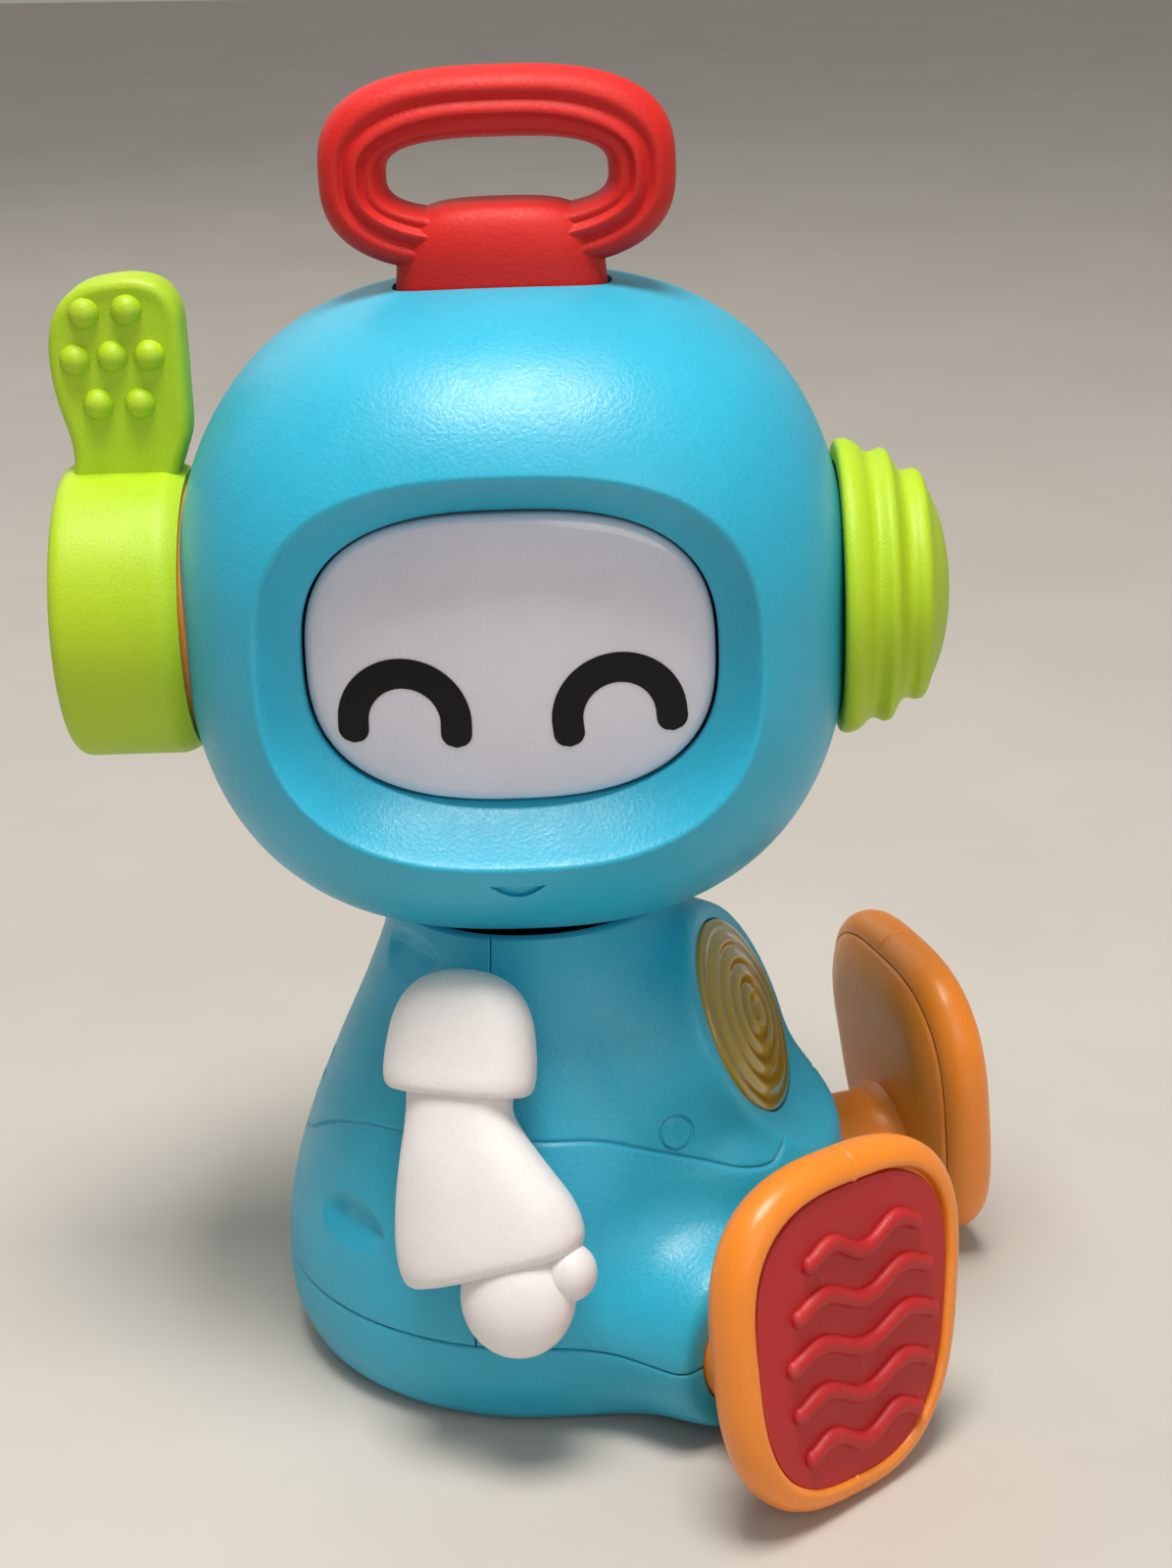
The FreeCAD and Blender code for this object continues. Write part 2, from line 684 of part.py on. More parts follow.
# ---- ears ----
def build_right_ear():
    face = -ear_outer_face
    rim = -ear_inner_face
    hub = disc(ear_radius, rim - face, V(face, 0, 0), X_AXIS)
    edges = [e for e in hub.Edges if e.Length > 100.0]
    hub = hub.makeFillet(2.2, edges)
    hub = hub.cut(disc(ear_radius - ear_wall, rim - face, V(face + ear_wall, 0, 0), X_AXIS))
    hub = hub.fuse(disc(8.0, rim - face - 4.0, V(face + 1.0, 0, 0), X_AXIS))
    paddle = build_paddle()
    crank = join([hub, paddle])
    crank = crank.cut(disc(ear_radius - ear_wall, rim - face + 9, V(face + ear_wall, 0, 0), X_AXIS).cut(
        disc(8.0, rim - face - 4.0, V(face + 1.0, 0, 0), X_AXIS)))
    crank = crank.cut(disc(ear_axle_radius - 0.02, 30.0, V(face + 4.0, 0, 0), X_AXIS))
    head_export("ear_crank", crank)
    collar = ring(25.4, 20.5, 12.0, V(rim + slip, 0, 0), X_AXIS).cut(head_form(0.0))
    head_export("ear_collar", collar)
    axle = disc(ear_axle_radius - 0.02, -click_wheel_x - (face + 4.0), V(face + 4.0, 0, 0), X_AXIS)
    head_export("ear_axle", axle)
    build_click_wheel("ear_click_wheel", -1)


def build_click_wheel(name, side):
    """A toothed wheel on the axle inside the head; a leaf spring rides over its teeth."""
    wheel = disc(7.0, click_wheel_width + 1.4, V(side * (click_wheel_x - 1.4), 0, 0), X_AXIS * side)
    for i in range(12):
        angle = math.radians(30 * i)
        spot = V(side * (click_wheel_x - 3), 7.4 * math.sin(angle), 7.4 * math.cos(angle))
        wheel = wheel.cut(disc(1.2, click_wheel_width + 5, spot, X_AXIS * side))
    seat = disc(ear_axle_radius, click_wheel_width + 1, V(side * click_wheel_x, 0, 0), X_AXIS * side)
    head_export(name, wheel.cut(seat))


def build_paddle():
    """Upright flag on the hub: narrow foot, leaning outer edge, rounded top."""
    half = paddle_thickness / 2
    outline = [V(-58.9, 0, 20.0), V(-76.9, 0, 20.0), V(-76.6, 0, 31.0), V(-79.0, 0, 46.0)]
    corner = [V(-79.0, 0, 46.0), V(-78.2, 0, 56.8), V(-69.0, 0, 61.8)]
    top = [V(-69.0, 0, 61.8), V(-62.0, 0, 62.5), V(-54.4, 0, 58.6)]
    edges = [Part.LineSegment(outline[i], outline[i + 1]).toShape() for i in range(3)]
    edges.append(Part.Arc(*corner).toShape())
    edges.append(Part.Arc(*top).toShape())
    edges.append(Part.LineSegment(V(-54.4, 0, 58.6), V(-53.4, 0, 36.0)).toShape())
    edges.append(Part.LineSegment(V(-53.4, 0, 36.0), V(-58.9, 0, 29.0)).toShape())
    edges.append(Part.LineSegment(V(-58.9, 0, 29.0), V(-58.9, 0, 20.0)).toShape())
    face = Part.Face(Part.Wire(edges))
    body = face.extrude(V(0, paddle_thickness, 0))
    body.translate(V(0, -half, 0))
    bumps = []
    for x, z in bump_spots():
        bumps.append(Part.makeSphere(bump_radius, V(x, -half + 0.6, z)))
    return join([body] + bumps)


def bump_spots():
    """Seven raised dots in rows of two, three and two."""
    spots = []
    for z, xs in ((56.5, (-71.6, -63.2)), (48.0, (-74.0, -67.0, -60.2)), (39.0, (-70.6, -62.6))):
        spots += [(x, z) for x in xs]
    return spots


def knob_profile():
    """Radius against distance from the head: a flange, two ripples and a low dome."""
    return (
        (knob_inner_face, 26.0),
        (58.8, 26.5),
        (61.6, 25.6),
        (64.0, 24.1),
        (66.6, 24.4),
        (68.4, 21.9),
        (70.6, 20.5),
        (72.8, 20.2),
        (74.4, 17.2),
        (76.2, 11.8),
        (77.4, 6.0),
    )


def build_left_ear():
    points = [V(x, 0, radius) for x, radius in knob_profile()]
    points.append(V(knob_apex, 0, 0.0))
    curve = Part.BSplineCurve()
    curve.interpolate(points)
    start = V(knob_inner_face, 0, 0)
    edges = [curve.toShape(), Part.LineSegment(V(knob_apex, 0, 0), start).toShape(),
             Part.LineSegment(start, points[0]).toShape()]
    body = Part.Face(Part.Wire(edges)).revolve(V(0, 0, 0), X_AXIS, 360)
    hollow = disc(23.0, 7.0, V(knob_inner_face - 1, 0, 0), X_AXIS).fuse(
        disc(16.5, 12.0, V(knob_inner_face - 1, 0, 0), X_AXIS))
    hub = disc(7.0, 14.0, V(60.2, 0, 0), X_AXIS)
    body = body.cut(hollow.cut(hub))
    body = body.cut(disc(ear_axle_radius - 0.02, 12.0, V(knob_inner_face - 1, 0, 0), X_AXIS))
    head_export("ripple_knob", body)
    axle = disc(ear_axle_radius - 0.02, 68.0 - click_wheel_x, V(click_wheel_x, 0, 0), X_AXIS)
    head_export("knob_axle", axle)
    build_click_wheel("knob_click_wheel", 1)


def build_click_springs():
    """Bent leaves on the head shell that ride on the click wheels."""
    leaves = []
    for side in (-1, 1):
        x = side * (click_wheel_x + 3.0)
        leaf = block(min(x, x - side * 1.5), max(x, x - side * 1.5), -9.0, 9.0, 8.0, 8.6)
        leaf = leaf.fuse(block(min(x, x - side * 1.5), max(x, x - side * 1.5), 8.0, 9.0, 8.0, 12.0))
        leaves.append(leaf)
    head_export("click_springs", Part.makeCompound(leaves))


# ---- arms ----
def arm_section(q, centre, half_width, half_thickness, shear=0.0):
    """A level slice of the arm at distance q down the flank."""
    points = []
    for p, t in superellipse_points(half_width, half_thickness, half_thickness, 2.4, 24):
        points.append(V(-q - shear * p, centre + p, t))
    return closed_wire(points)


def arm_form():
    ht = arm_half_thickness
    cap = ellipsoid(V(-1.4, 0, 0), V(13.4, 13.4, ht))
    skirt = loft([
        arm_section(1.4, 0, 13.4, ht),
        arm_section(6.0, 0, 13.3, ht),
        arm_section(9.6, 0, 12.2, ht - 0.4),
    ])
    cap = cap.common(block(-1.4, 30, -30, 30, -30, 30)).fuse(skirt)
    fore = loft([
        arm_section(9.0, -0.3, 9.2, 6.6),
        arm_section(13.0, -0.4, 9.5, 6.8),
        arm_section(22.0, -3.0, 12.9, 7.6, 0.12),
        arm_section(31.0, -5.8, 15.6, ht, 0.26),
        arm_section(37.0, -7.4, 14.8, 7.6, 0.30),
        arm_section(40.6, -7.9, 11.6, 6.0, 0.30),
    ])
    hand = ellipsoid(V(-44.4, -13.2, 0), V(11.0, 10.4, 6.8))
    thumb = ellipsoid(V(-39.4, -22.2, 0), V(5.2, 4.8, 4.6))
    return join([cap, fore, hand, thumb])


def build_arms():
    form = arm_form()
    outer = form.common(block(-90, 90, -90, 90, 0, 30))
    inner = form.common(block(-90, 90, -90, 90, -30, 0))
    inner = inner.cut(disc(arm_axle_radius - 0.02, 20.0, V(0, 0, -12.0)))
    outer = outer.cut(disc(arm_axle_radius + 0.1, 2.0, V(0, 0, -0.5)))
    flange_z = -(arm_half_thickness + 2 * slip + shoulder_boss_depth) - 1.4
    axle = disc(arm_axle_radius - 0.02, 1.3 - flange_z, V(0, 0, flange_z)).fuse(disc(5.5, 1.4, V(0, 0, flange_z)))
    for side, word in ((-1, "right"), (1, "left")):
        pieces = {"arm_outer": outer, "arm_inner": inner, "shoulder_axle": axle}
        for name, shape in pieces.items():
            export(word + "_" + name, arm_sided(shape, side))


def arm_sided(shape, side):
    right = placed(shape, arm_place(-1))
    return right if side == -1 else mirrored(right)


# ---- legs and feet ----
def foot_wire(grow, y):
    return upright_wire(foot_half_width + grow, foot_half_height + grow, y,
                        foot_power, foot_taper, foot_lift)


def foot_loft(levels, ruled=False):
    """A body through foot outlines, each given as its growth and its depth behind the face."""
    return loft([foot_wire(grow, y) for grow, y in levels], ruled)


def sole_loft(gap, near_y, far_y):
    half_width = sole_half_width - gap
    half_height = sole_half_height - gap
    return loft([upright_wire(half_width, half_height, y, foot_power, foot_taper, sole_lift)
                 for y in (near_y, far_y)], True)


def foot_seated(shape, side):
    """Leans the foot back and sets it outward of the leg's axis."""
    copy = shape.copy()
    copy.rotate(V(0, 0, 0), X_AXIS, -sole_tilt)
    copy.translate(V(side * foot_shift, 0, 0))
    return copy


def build_rim():
    rim = foot_loft(((-2.2, 0.0), (-0.7, 0.9), (0.0, 2.6), (0.0, foot_rim_depth)))
    hollow = foot_loft(((-skin, 3.6), (-skin, foot_rim_depth + 1.0)), True)
    return rim.cut(sole_loft(0.0, -1.0, sole_depth)).cut(hollow)


def build_sole():
    plate = sole_loft(sole_gap, 0.5, sole_depth - fit)
    return join([plate] + [sole_rib(k) for k in range(-2, 3)])


def build_foot_back():
    """The closed back of the foot, hollow towards the rim."""
    back = foot_loft(((0.0, foot_rim_depth), (-0.6, 8.4), (-3.4, 11.0), (-9.0, 13.0)))
    return back.cut(foot_loft(((-skin, foot_rim_depth - 1.0), (-skin - 2.0, 8.6)), True))


def build_leg(side):
    """Foot back, thigh plug and hip axle in one, with the groove for the spring clip."""
    plug_start = 9.0
    plug = disc(leg_radius, leg_reach - plug_start, V(0, plug_start, leg_axis_z()), Y_AXIS)
    axle = disc(leg_axle_radius, hip_axle_length, V(0, leg_reach - 1.0, leg_axis_z()), Y_AXIS)
    return join([foot_seated(build_foot_back(), side), plug, axle]).cut(clip_ring(1.0))


def clip_ring(width):
    spot = V(0, leg_reach + hip_bearing_length + slip, leg_axis_z())
    return ring(leg_axle_radius + width, leg_axle_radius - clip_bite, clip_thickness, spot, Y_AXIS)


def build_legs():
    for side, word, roll in ((-1, "right", leg_roll_right), (1, "left", 0.0)):
        pieces = {
            "foot_rim": foot_seated(build_rim(), side),
            "leg": build_leg(side),
            "sole": foot_seated(build_sole(), side),
            "leg_clip": clip_ring(3.0),
        }
        for name, shape in pieces.items():
            shape.rotate(V(0, 0, leg_axis_z()), Y_AXIS, roll)
            export(word + "_" + name, leg_placed(shape, side))


sole_gap = 0.1
hip_axle_length = 13.0
clip_bite = 0.6              # depth of the clip's groove in the axle
clip_thickness = 1.6
rib_half_lengths = (18.2, 16.2, 13.4)
rib_pitch = 8.8
rib_radius = 1.25
rib_wave = 1.5               # height of the ribs' wave


def sole_rib(k):
    """A raised wavy rib across the sole, k steps above the middle one."""
    half = rib_half_lengths[abs(k)]
    z0 = rib_pitch * k
    points = []
    count = 12
    for i in range(count + 1):
        x = -half + 2 * half * i / count
        points.append(V(x, 0.6, z0 - rib_wave * math.cos(2 * math.pi * x / (half * 1.25))))
    path = Part.BSplineCurve()
    path.interpolate(points)
    wire = Part.Wire([path.toShape()])
    tangent = path.tangent(path.FirstParameter)[0]
    circle = Part.Wire([Part.Circle(points[0], tangent, rib_radius).toShape()])
    rib = wire.makePipeShell([circle], True, False)
    return join([rib, Part.makeSphere(rib_radius, points[0]), Part.makeSphere(rib_radius, points[-1])])


def main():
    os.makedirs("parts", exist_ok=True)
    whole = torso_solid()
    front, back, base = build_torso(whole)
    base = build_base_parts(base)
    build_board()
    build_speaker()
    back = remove(back.fuse(speaker_frame()), speaker_slots())
    export("torso_front_shell", front)
    export("torso_back_shell", back)
    export("base_shell", base)
    screws = [screw(V(x, y, 5.0), V(0, 0, -1), 22.0) for x, y in base_post_spots]
    export("base_screws", Part.makeCompound(screws))
    build_neck_parts()
    build_button()
    build_head()
    build_face()
    build_neck_tube()
    build_handle()
    build_right_ear()
    build_left_ear()
    build_click_springs()
    build_arms()
    build_legs()


main()
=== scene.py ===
import json
import math

import bmesh
import bpy
import numpy as np
from mathutils import Matrix, Vector


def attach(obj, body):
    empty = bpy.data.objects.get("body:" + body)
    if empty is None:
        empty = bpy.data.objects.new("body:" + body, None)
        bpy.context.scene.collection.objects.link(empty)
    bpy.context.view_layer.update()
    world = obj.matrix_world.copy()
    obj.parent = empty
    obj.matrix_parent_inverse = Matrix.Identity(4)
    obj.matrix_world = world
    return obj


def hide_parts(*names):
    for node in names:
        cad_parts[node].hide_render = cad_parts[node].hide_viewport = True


# lengths in the piece dictionaries are millimetres, as on the toy's own drawings
mm = 0.001
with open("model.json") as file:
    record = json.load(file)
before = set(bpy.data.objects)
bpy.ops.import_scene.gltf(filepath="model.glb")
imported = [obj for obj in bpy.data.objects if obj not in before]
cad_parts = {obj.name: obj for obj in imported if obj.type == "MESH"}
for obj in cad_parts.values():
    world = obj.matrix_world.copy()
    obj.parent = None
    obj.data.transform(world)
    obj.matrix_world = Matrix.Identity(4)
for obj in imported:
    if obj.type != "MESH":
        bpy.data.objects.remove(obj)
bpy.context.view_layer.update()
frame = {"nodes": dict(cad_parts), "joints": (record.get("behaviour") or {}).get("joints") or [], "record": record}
print("frame loaded")

joints = {joint["name"]: joint for joint in frame["joints"]}
slots = {material["slot"]: material for material in frame["record"]["materials"]}


def spotOf(jointName):
    return Vector(joints[jointName]["pos_m"])


def axisOf(jointName):
    return Vector(joints[jointName]["axis"]).normalized()


def placeFrom(spot, sideways, upward):
    x = sideways.normalized()
    z = (upward - x * upward.dot(x)).normalized()
    y = z.cross(x)
    turn = Matrix((x, y, z)).transposed().to_4x4()
    return Matrix.Translation(spot) @ turn


up = Vector((0, 0, 1))
headPlace = placeFrom(spotOf("ripple_knob_spin"), axisOf("ripple_knob_spin"), up)
worldPlace = Matrix.Identity(4)


def newGroup(name, inputs, outputs):
    group = bpy.data.node_groups.new(name, "ShaderNodeTree")
    for label, kind, value in inputs:
        socket = group.interface.new_socket(name=label, in_out="INPUT", socket_type=kind)
        socket.default_value = value
    for label, kind in outputs:
        group.interface.new_socket(name=label, in_out="OUTPUT", socket_type=kind)
    return group, group.nodes.new("NodeGroupInput"), group.nodes.new("NodeGroupOutput")


def mathNode(tree, operation, first, second=0.5):
    node = tree.nodes.new("ShaderNodeMath")
    node.operation = operation
    for socket, value in ((node.inputs[0], first), (node.inputs[1], second)):
        if isinstance(value, (int, float)):
            socket.default_value = value
        else:
            tree.links.new(value, socket)
    return node.outputs[0]


def noiseNode(tree, vector, scale, detail=2.0, roughness=0.5):
    node = tree.nodes.new("ShaderNodeTexNoise")
    node.inputs["Detail"].default_value = detail
    node.inputs["Roughness"].default_value = roughness
    if isinstance(scale, (int, float)):
        node.inputs["Scale"].default_value = scale
    else:
        tree.links.new(scale, node.inputs["Scale"])
    tree.links.new(vector, node.inputs["Vector"])
    return node.outputs["Fac"]


def rangeNode(tree, value, fromLow, fromHigh, toLow, toHigh):
    node = tree.nodes.new("ShaderNodeMapRange")
    tree.links.new(value, node.inputs["Value"])
    for label, number in (("From Min", fromLow), ("From Max", fromHigh), ("To Min", toLow),
                          ("To Max", toHigh)):
        if isinstance(number, (int, float)):
            node.inputs[label].default_value = number
        else:
            tree.links.new(number, node.inputs[label])
    return node.outputs["Result"]


# spark-eroded mould texture: fine pits, a slow mottle of colour and a roughness that follows both
def mouldedGrain():
    group, given, wanted = newGroup(
        "mouldedGrain",
        [("Colour", "NodeSocketColor", (0.5, 0.5, 0.5, 1)), ("Grain", "NodeSocketFloat", 2600.0),
         ("Depth", "NodeSocketFloat", 0.25), ("Rough", "NodeSocketFloat", 0.4),
         ("Mottle", "NodeSocketFloat", 0.08)],
        [("Colour", "NodeSocketColor"), ("Roughness", "NodeSocketFloat"), ("Normal", "NodeSocketVector")])
    where = group.nodes.new("ShaderNodeTexCoord").outputs["Object"]
    fine = noiseNode(group, where, given.outputs["Grain"], 3.0, 0.6)
    slow = noiseNode(group, where, 38.0, 3.0, 0.55)
    smudge = noiseNode(group, where, 140.0, 4.0, 0.6)
    shade = rangeNode(group, slow, 0.3, 0.7, mathNode(group, "SUBTRACT", 1.0, given.outputs["Mottle"]),
                      mathNode(group, "ADD", 1.0, given.outputs["Mottle"]))
    speck = rangeNode(group, fine, 0.35, 0.75, 0.97, 1.04)
    tint = group.nodes.new("ShaderNodeVectorMath")
    tint.operation = "SCALE"
    group.links.new(given.outputs["Colour"], tint.inputs[0])
    group.links.new(mathNode(group, "MULTIPLY", shade, speck), tint.inputs["Scale"])
    group.links.new(tint.outputs["Vector"], wanted.inputs["Colour"])
    drift = rangeNode(group, smudge, 0.3, 0.7, -0.05, 0.05)
    pits = rangeNode(group, fine, 0.3, 0.8, -0.06, 0.08)
    rough = mathNode(group, "ADD", given.outputs["Rough"], mathNode(group, "ADD", drift, pits))
    group.links.new(rough, wanted.inputs["Roughness"])
    bump = group.nodes.new("ShaderNodeBump")
    bump.inputs["Distance"].default_value = 0.0002
    group.links.new(given.outputs["Depth"], bump.inputs["Strength"])
    group.links.new(fine, bump.inputs["Height"])
    group.links.new(bump.outputs["Normal"], wanted.inputs["Normal"])
    return group


# painted edge highlight: sharp convex edges paled toward near-white, in patches
def paleEdgeHighlight():
    group, given, wanted = newGroup(
        "paleEdgeHighlight",
        [("Colour", "NodeSocketColor", (0.5, 0.5, 0.5, 1)), ("EdgeHighlight", "NodeSocketFloat", 0.3)],
        [("Colour", "NodeSocketColor"), ("Mask", "NodeSocketFloat")])
    where = group.nodes.new("ShaderNodeTexCoord").outputs["Object"]
    point = group.nodes.new("ShaderNodeNewGeometry").outputs["Pointiness"]
    edge = rangeNode(group, point, 0.52, 0.60, 0.0, 1.0)
    patchy = rangeNode(group, noiseNode(group, where, 260.0, 3.0, 0.6), 0.4, 0.65, 0.2, 1.0)
    edgeHighlightMask = mathNode(group, "MULTIPLY", mathNode(group, "MULTIPLY", edge, patchy), given.outputs["EdgeHighlight"])
    mix = group.nodes.new("ShaderNodeMix")
    mix.data_type = "RGBA"
    group.links.new(edgeHighlightMask, mix.inputs["Factor"])
    group.links.new(given.outputs["Colour"], mix.inputs[6])
    # near-white colour of the painted edge highlight
    mix.inputs[7].default_value = (0.95, 0.95, 0.93, 1)
    group.links.new(mix.outputs[2], wanted.inputs["Colour"])
    group.links.new(edgeHighlightMask, wanted.inputs["Mask"])
    return group


grainGroup = mouldedGrain()
edgeGroup = paleEdgeHighlight()


def plastic(name, look):
    material = bpy.data.materials.new(name)
    material.use_nodes = True
    tree = material.node_tree
    shader = tree.nodes["Principled BSDF"]
    grain = tree.nodes.new("ShaderNodeGroup")
    grain.node_tree = grainGroup
    # the edge group paints a highlight on sharp convex edges, as strong as the finish's "wear" entry
    edge = tree.nodes.new("ShaderNodeGroup")
    edge.node_tree = edgeGroup
    edge.inputs["Colour"].default_value = (*look["colour"], 1)
    edge.inputs["EdgeHighlight"].default_value = look.get("wear", 0.12)
    tree.links.new(edge.outputs["Colour"], grain.inputs["Colour"])
    grain.inputs["Grain"].default_value = look.get("grain", 2600.0)
    grain.inputs["Depth"].default_value = look.get("depth", 0.2)
    grain.inputs["Rough"].default_value = look.get("rough", 0.4)
    grain.inputs["Mottle"].default_value = look.get("mottle", 0.05)
    tree.links.new(grain.outputs["Colour"], shader.inputs["Base Color"])
    tree.links.new(grain.outputs["Roughness"], shader.inputs["Roughness"])
    tree.links.new(grain.outputs["Normal"], shader.inputs["Normal"])
    shader.inputs["Metallic"].default_value = look.get("metal", 0.0)
    shader.inputs["Specular IOR Level"].default_value = look.get("specular", 0.5)
    shader.inputs["Coat Weight"].default_value = look.get("coat", 0.0)
    shader.inputs["Coat Roughness"].default_value = look.get("coatRough", 0.1)
    shader.inputs["Subsurface Weight"].default_value = look.get("glow", 0.0)
    shader.inputs["Subsurface Scale"].default_value = 0.004
    shader.inputs["Subsurface Radius"].default_value = look.get("glowColour", (1.0, 1.0, 1.0))
    return material


# user-changeable finishes, by the record's slots
# each "wear" entry sets how strongly the painted edge highlight pales sharp convex edges
finishes = {
    "teal_shell": {"colour": (0.024, 0.425, 0.635), "rough": 0.38, "depth": 0.55, "grain": 1300.0,
                   "wear": 0.06},
    "red_grip": {"colour": (0.620, 0.014, 0.010), "rough": 0.56, "depth": 0.50, "grain": 1500.0, "wear": 0.03,
                 "specular": 0.35},
    "red_sole": {"colour": (0.480, 0.012, 0.014), "rough": 0.50, "depth": 0.40, "grain": 2100.0,
                 "wear": 0.04},
    "lime_plastic": {"colour": (0.420, 0.620, 0.010), "rough": 0.48, "depth": 0.45, "grain": 1900.0,
                     "wear": 0.05},
    "orange_plastic": {"colour": (0.900, 0.262, 0.018), "rough": 0.36, "depth": 0.12, "grain": 2600.0,
                       "coat": 0.15, "coatRough": 0.25, "glow": 0.10, "glowColour": (1.0, 0.4, 0.1)},
    "white_plastic": {"colour": (0.800, 0.770, 0.775), "rough": 0.42, "depth": 0.35, "grain": 2400.0,
                      "glow": 0.15},
    "face_white": {"colour": (0.720, 0.690, 0.790), "rough": 0.22, "depth": 0.02, "coat": 0.8,
                   "coatRough": 0.06,
                   "glow": 0.30, "wear": 0.0},
    "amber_lens": {"colour": (0.300, 0.215, 0.010), "rough": 0.16, "depth": 0.03, "coat": 0.9,
                   "coatRough": 0.04,
                   "glow": 0.25, "glowColour": (1.0, 0.7, 0.1), "wear": 0.0},
    "black_plastic": {"colour": (0.012, 0.012, 0.012), "rough": 0.35, "depth": 0.08, "wear": 0.05},
    "inner_plastic": {"colour": (0.640, 0.640, 0.600), "rough": 0.45, "depth": 0.20},
    "steel": {"colour": (0.560, 0.560, 0.550), "rough": 0.28, "depth": 0.15, "metal": 1.0, "wear": 0.2},
    "board_green": {"colour": (0.015, 0.160, 0.060), "rough": 0.35, "depth": 0.10, "mottle": 0.15},
    "eye_black": {"colour": (0.004, 0.004, 0.005), "rough": 0.30, "depth": 0.02, "wear": 0.0,
                  "specular": 0.20},
    "led_white": {"colour": (0.850, 0.850, 0.800), "rough": 0.15, "depth": 0.02, "glow": 0.3},
    "cell_wrap": {"colour": (0.120, 0.120, 0.150), "rough": 0.25, "depth": 0.05, "mottle": 0.12},
}
materials = {slot: plastic(slot, finishes[slot]) for slot in slots}
eyeMaterial = plastic("eyeBlack", finishes["eye_black"])
print("materials made")


def bend(points, xs):
    # smooth curve through the given stations, sampled at xs
    points = np.array(points, float)
    x, y = points[:, 0], points[:, 1:]
    slope = np.gradient(y, x, axis=0)
    index = np.clip(np.searchsorted(x, xs) - 1, 0, len(x) - 2)
    span = (x[index + 1] - x[index])[:, None]
    t = (np.clip(xs, x[0], x[-1]) - x[index])[:, None] / span
    h00 = 2 * t ** 3 - 3 * t ** 2 + 1
    h10 = t ** 3 - 2 * t ** 2 + t
    h01 = 3 * t ** 2 - 2 * t ** 3
    h11 = t ** 3 - t ** 2
    return h00 * y[index] + h10 * span * slope[index] + h01 * y[index + 1] + h11 * span * slope[index + 1]


def superRadius(angle, halfWidth, halfHeight, power):
    c = np.abs(np.cos(angle)) / halfWidth
    s = np.abs(np.sin(angle)) / halfHeight
    return (c ** power + s ** power) ** (-1.0 / power)


def sheet(bm, columns, rows, shape):
    # a grid laid over the surface that shape(u, v) gives in millimetres, u and v from 0 to 1
    verts = bmesh.ops.create_grid(bm, x_segments=columns, y_segments=rows, size=0.5)["verts"]
    u = np.array([v.co.x for v in verts]) + 0.5
    w = np.array([v.co.y for v in verts]) + 0.5
    points = np.array(shape(u, w)).T * mm
    for vert, point in zip(verts, points):
        vert.co = point
    return verts


def finishMesh(bm, name, place=worldPlace):
    bmesh.ops.remove_doubles(bm, verts=bm.verts, dist=0.000002)
    bmesh.ops.dissolve_degenerate(bm, edges=bm.edges, dist=0.000001)
    bmesh.ops.transform(bm, matrix=place, verts=bm.verts)
    bmesh.ops.recalc_face_normals(bm, faces=bm.faces)
    mesh = bpy.data.meshes.new(name)
    bm.to_mesh(mesh)
    bm.free()
    piece = bpy.data.objects.new(name, mesh)
    bpy.context.scene.collection.objects.link(piece)
    return piece


def harden(piece, degrees=32):
    piece.data.shade_smooth()
    piece.data.set_sharp_from_angle(angle=math.radians(degrees))


def settle(piece):
    # what the modifiers make becomes the piece's own mesh
    bpy.context.view_layer.update()
    graph = bpy.context.evaluated_depsgraph_get()
    mesh = bpy.data.meshes.new_from_object(piece.evaluated_get(graph))
    piece.modifiers.clear()
    piece.data = mesh


def carve(piece, cutters):
    for cutter in cutters:
        cut = piece.modifiers.new("cut", "BOOLEAN")
        cut.operation, cut.solver, cut.object = "DIFFERENCE", "MANIFOLD", cutter
    settle(piece)
    for cutter in cutters:
        bpy.data.objects.remove(cutter)


def unite(piece, parts):
    for part in parts:
        add = piece.modifiers.new("join", "BOOLEAN")
        add.operation, add.solver, add.object = "UNION", "MANIFOLD", part
    settle(piece)
    for part in parts:
        bpy.data.objects.remove(part)


def outwardFrom(piece, middle):
    # on an open shell the outside is the side that faces away from the middle
    bm = bmesh.new()
    bm.from_mesh(piece.data)
    total = sum(face.normal.dot(face.calc_center_median() - middle) * face.calc_area() for face in bm.faces)
    if total < 0:
        bmesh.ops.reverse_faces(bm, faces=bm.faces)
    bm.to_mesh(piece.data)
    bm.free()


def thicken(piece, wall):
    skin = piece.modifiers.new("wall", "SOLIDIFY")
    skin.thickness = wall * mm
    skin.offset = -1.0
    skin.use_rim = True
    settle(piece)


def wear(piece, slot, body, nodes=(), material=None):
    piece.data.materials.clear()
    piece.data.materials.append(material or materials[slot])
    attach(piece, body)
    if nodes:
        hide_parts(*nodes)
    return piece


def rodCutter(radius, low, high, place, segments=64):
    bm = bmesh.new()
    bmesh.ops.create_cone(bm, cap_ends=True, segments=segments, radius1=radius * mm, radius2=radius * mm,
                          depth=(high - low) * mm, matrix=Matrix.Translation((0, 0, (low + high) / 2 * mm)))
    return finishMesh(bm, "cutter", place)


def boxCutter(x0, x1, y0, y1, z0, z1):
    bm = bmesh.new()
    verts = bmesh.ops.create_cube(bm, size=1.0)["verts"]
    bmesh.ops.scale(bm, vec=((x1 - x0) * mm, (y1 - y0) * mm, (z1 - z0) * mm), verts=verts)
    bmesh.ops.translate(bm, vec=Vector((x0 + x1, y0 + y1, z0 + z1)) * mm / 2, verts=verts)
    return finishMesh(bm, "cutter")


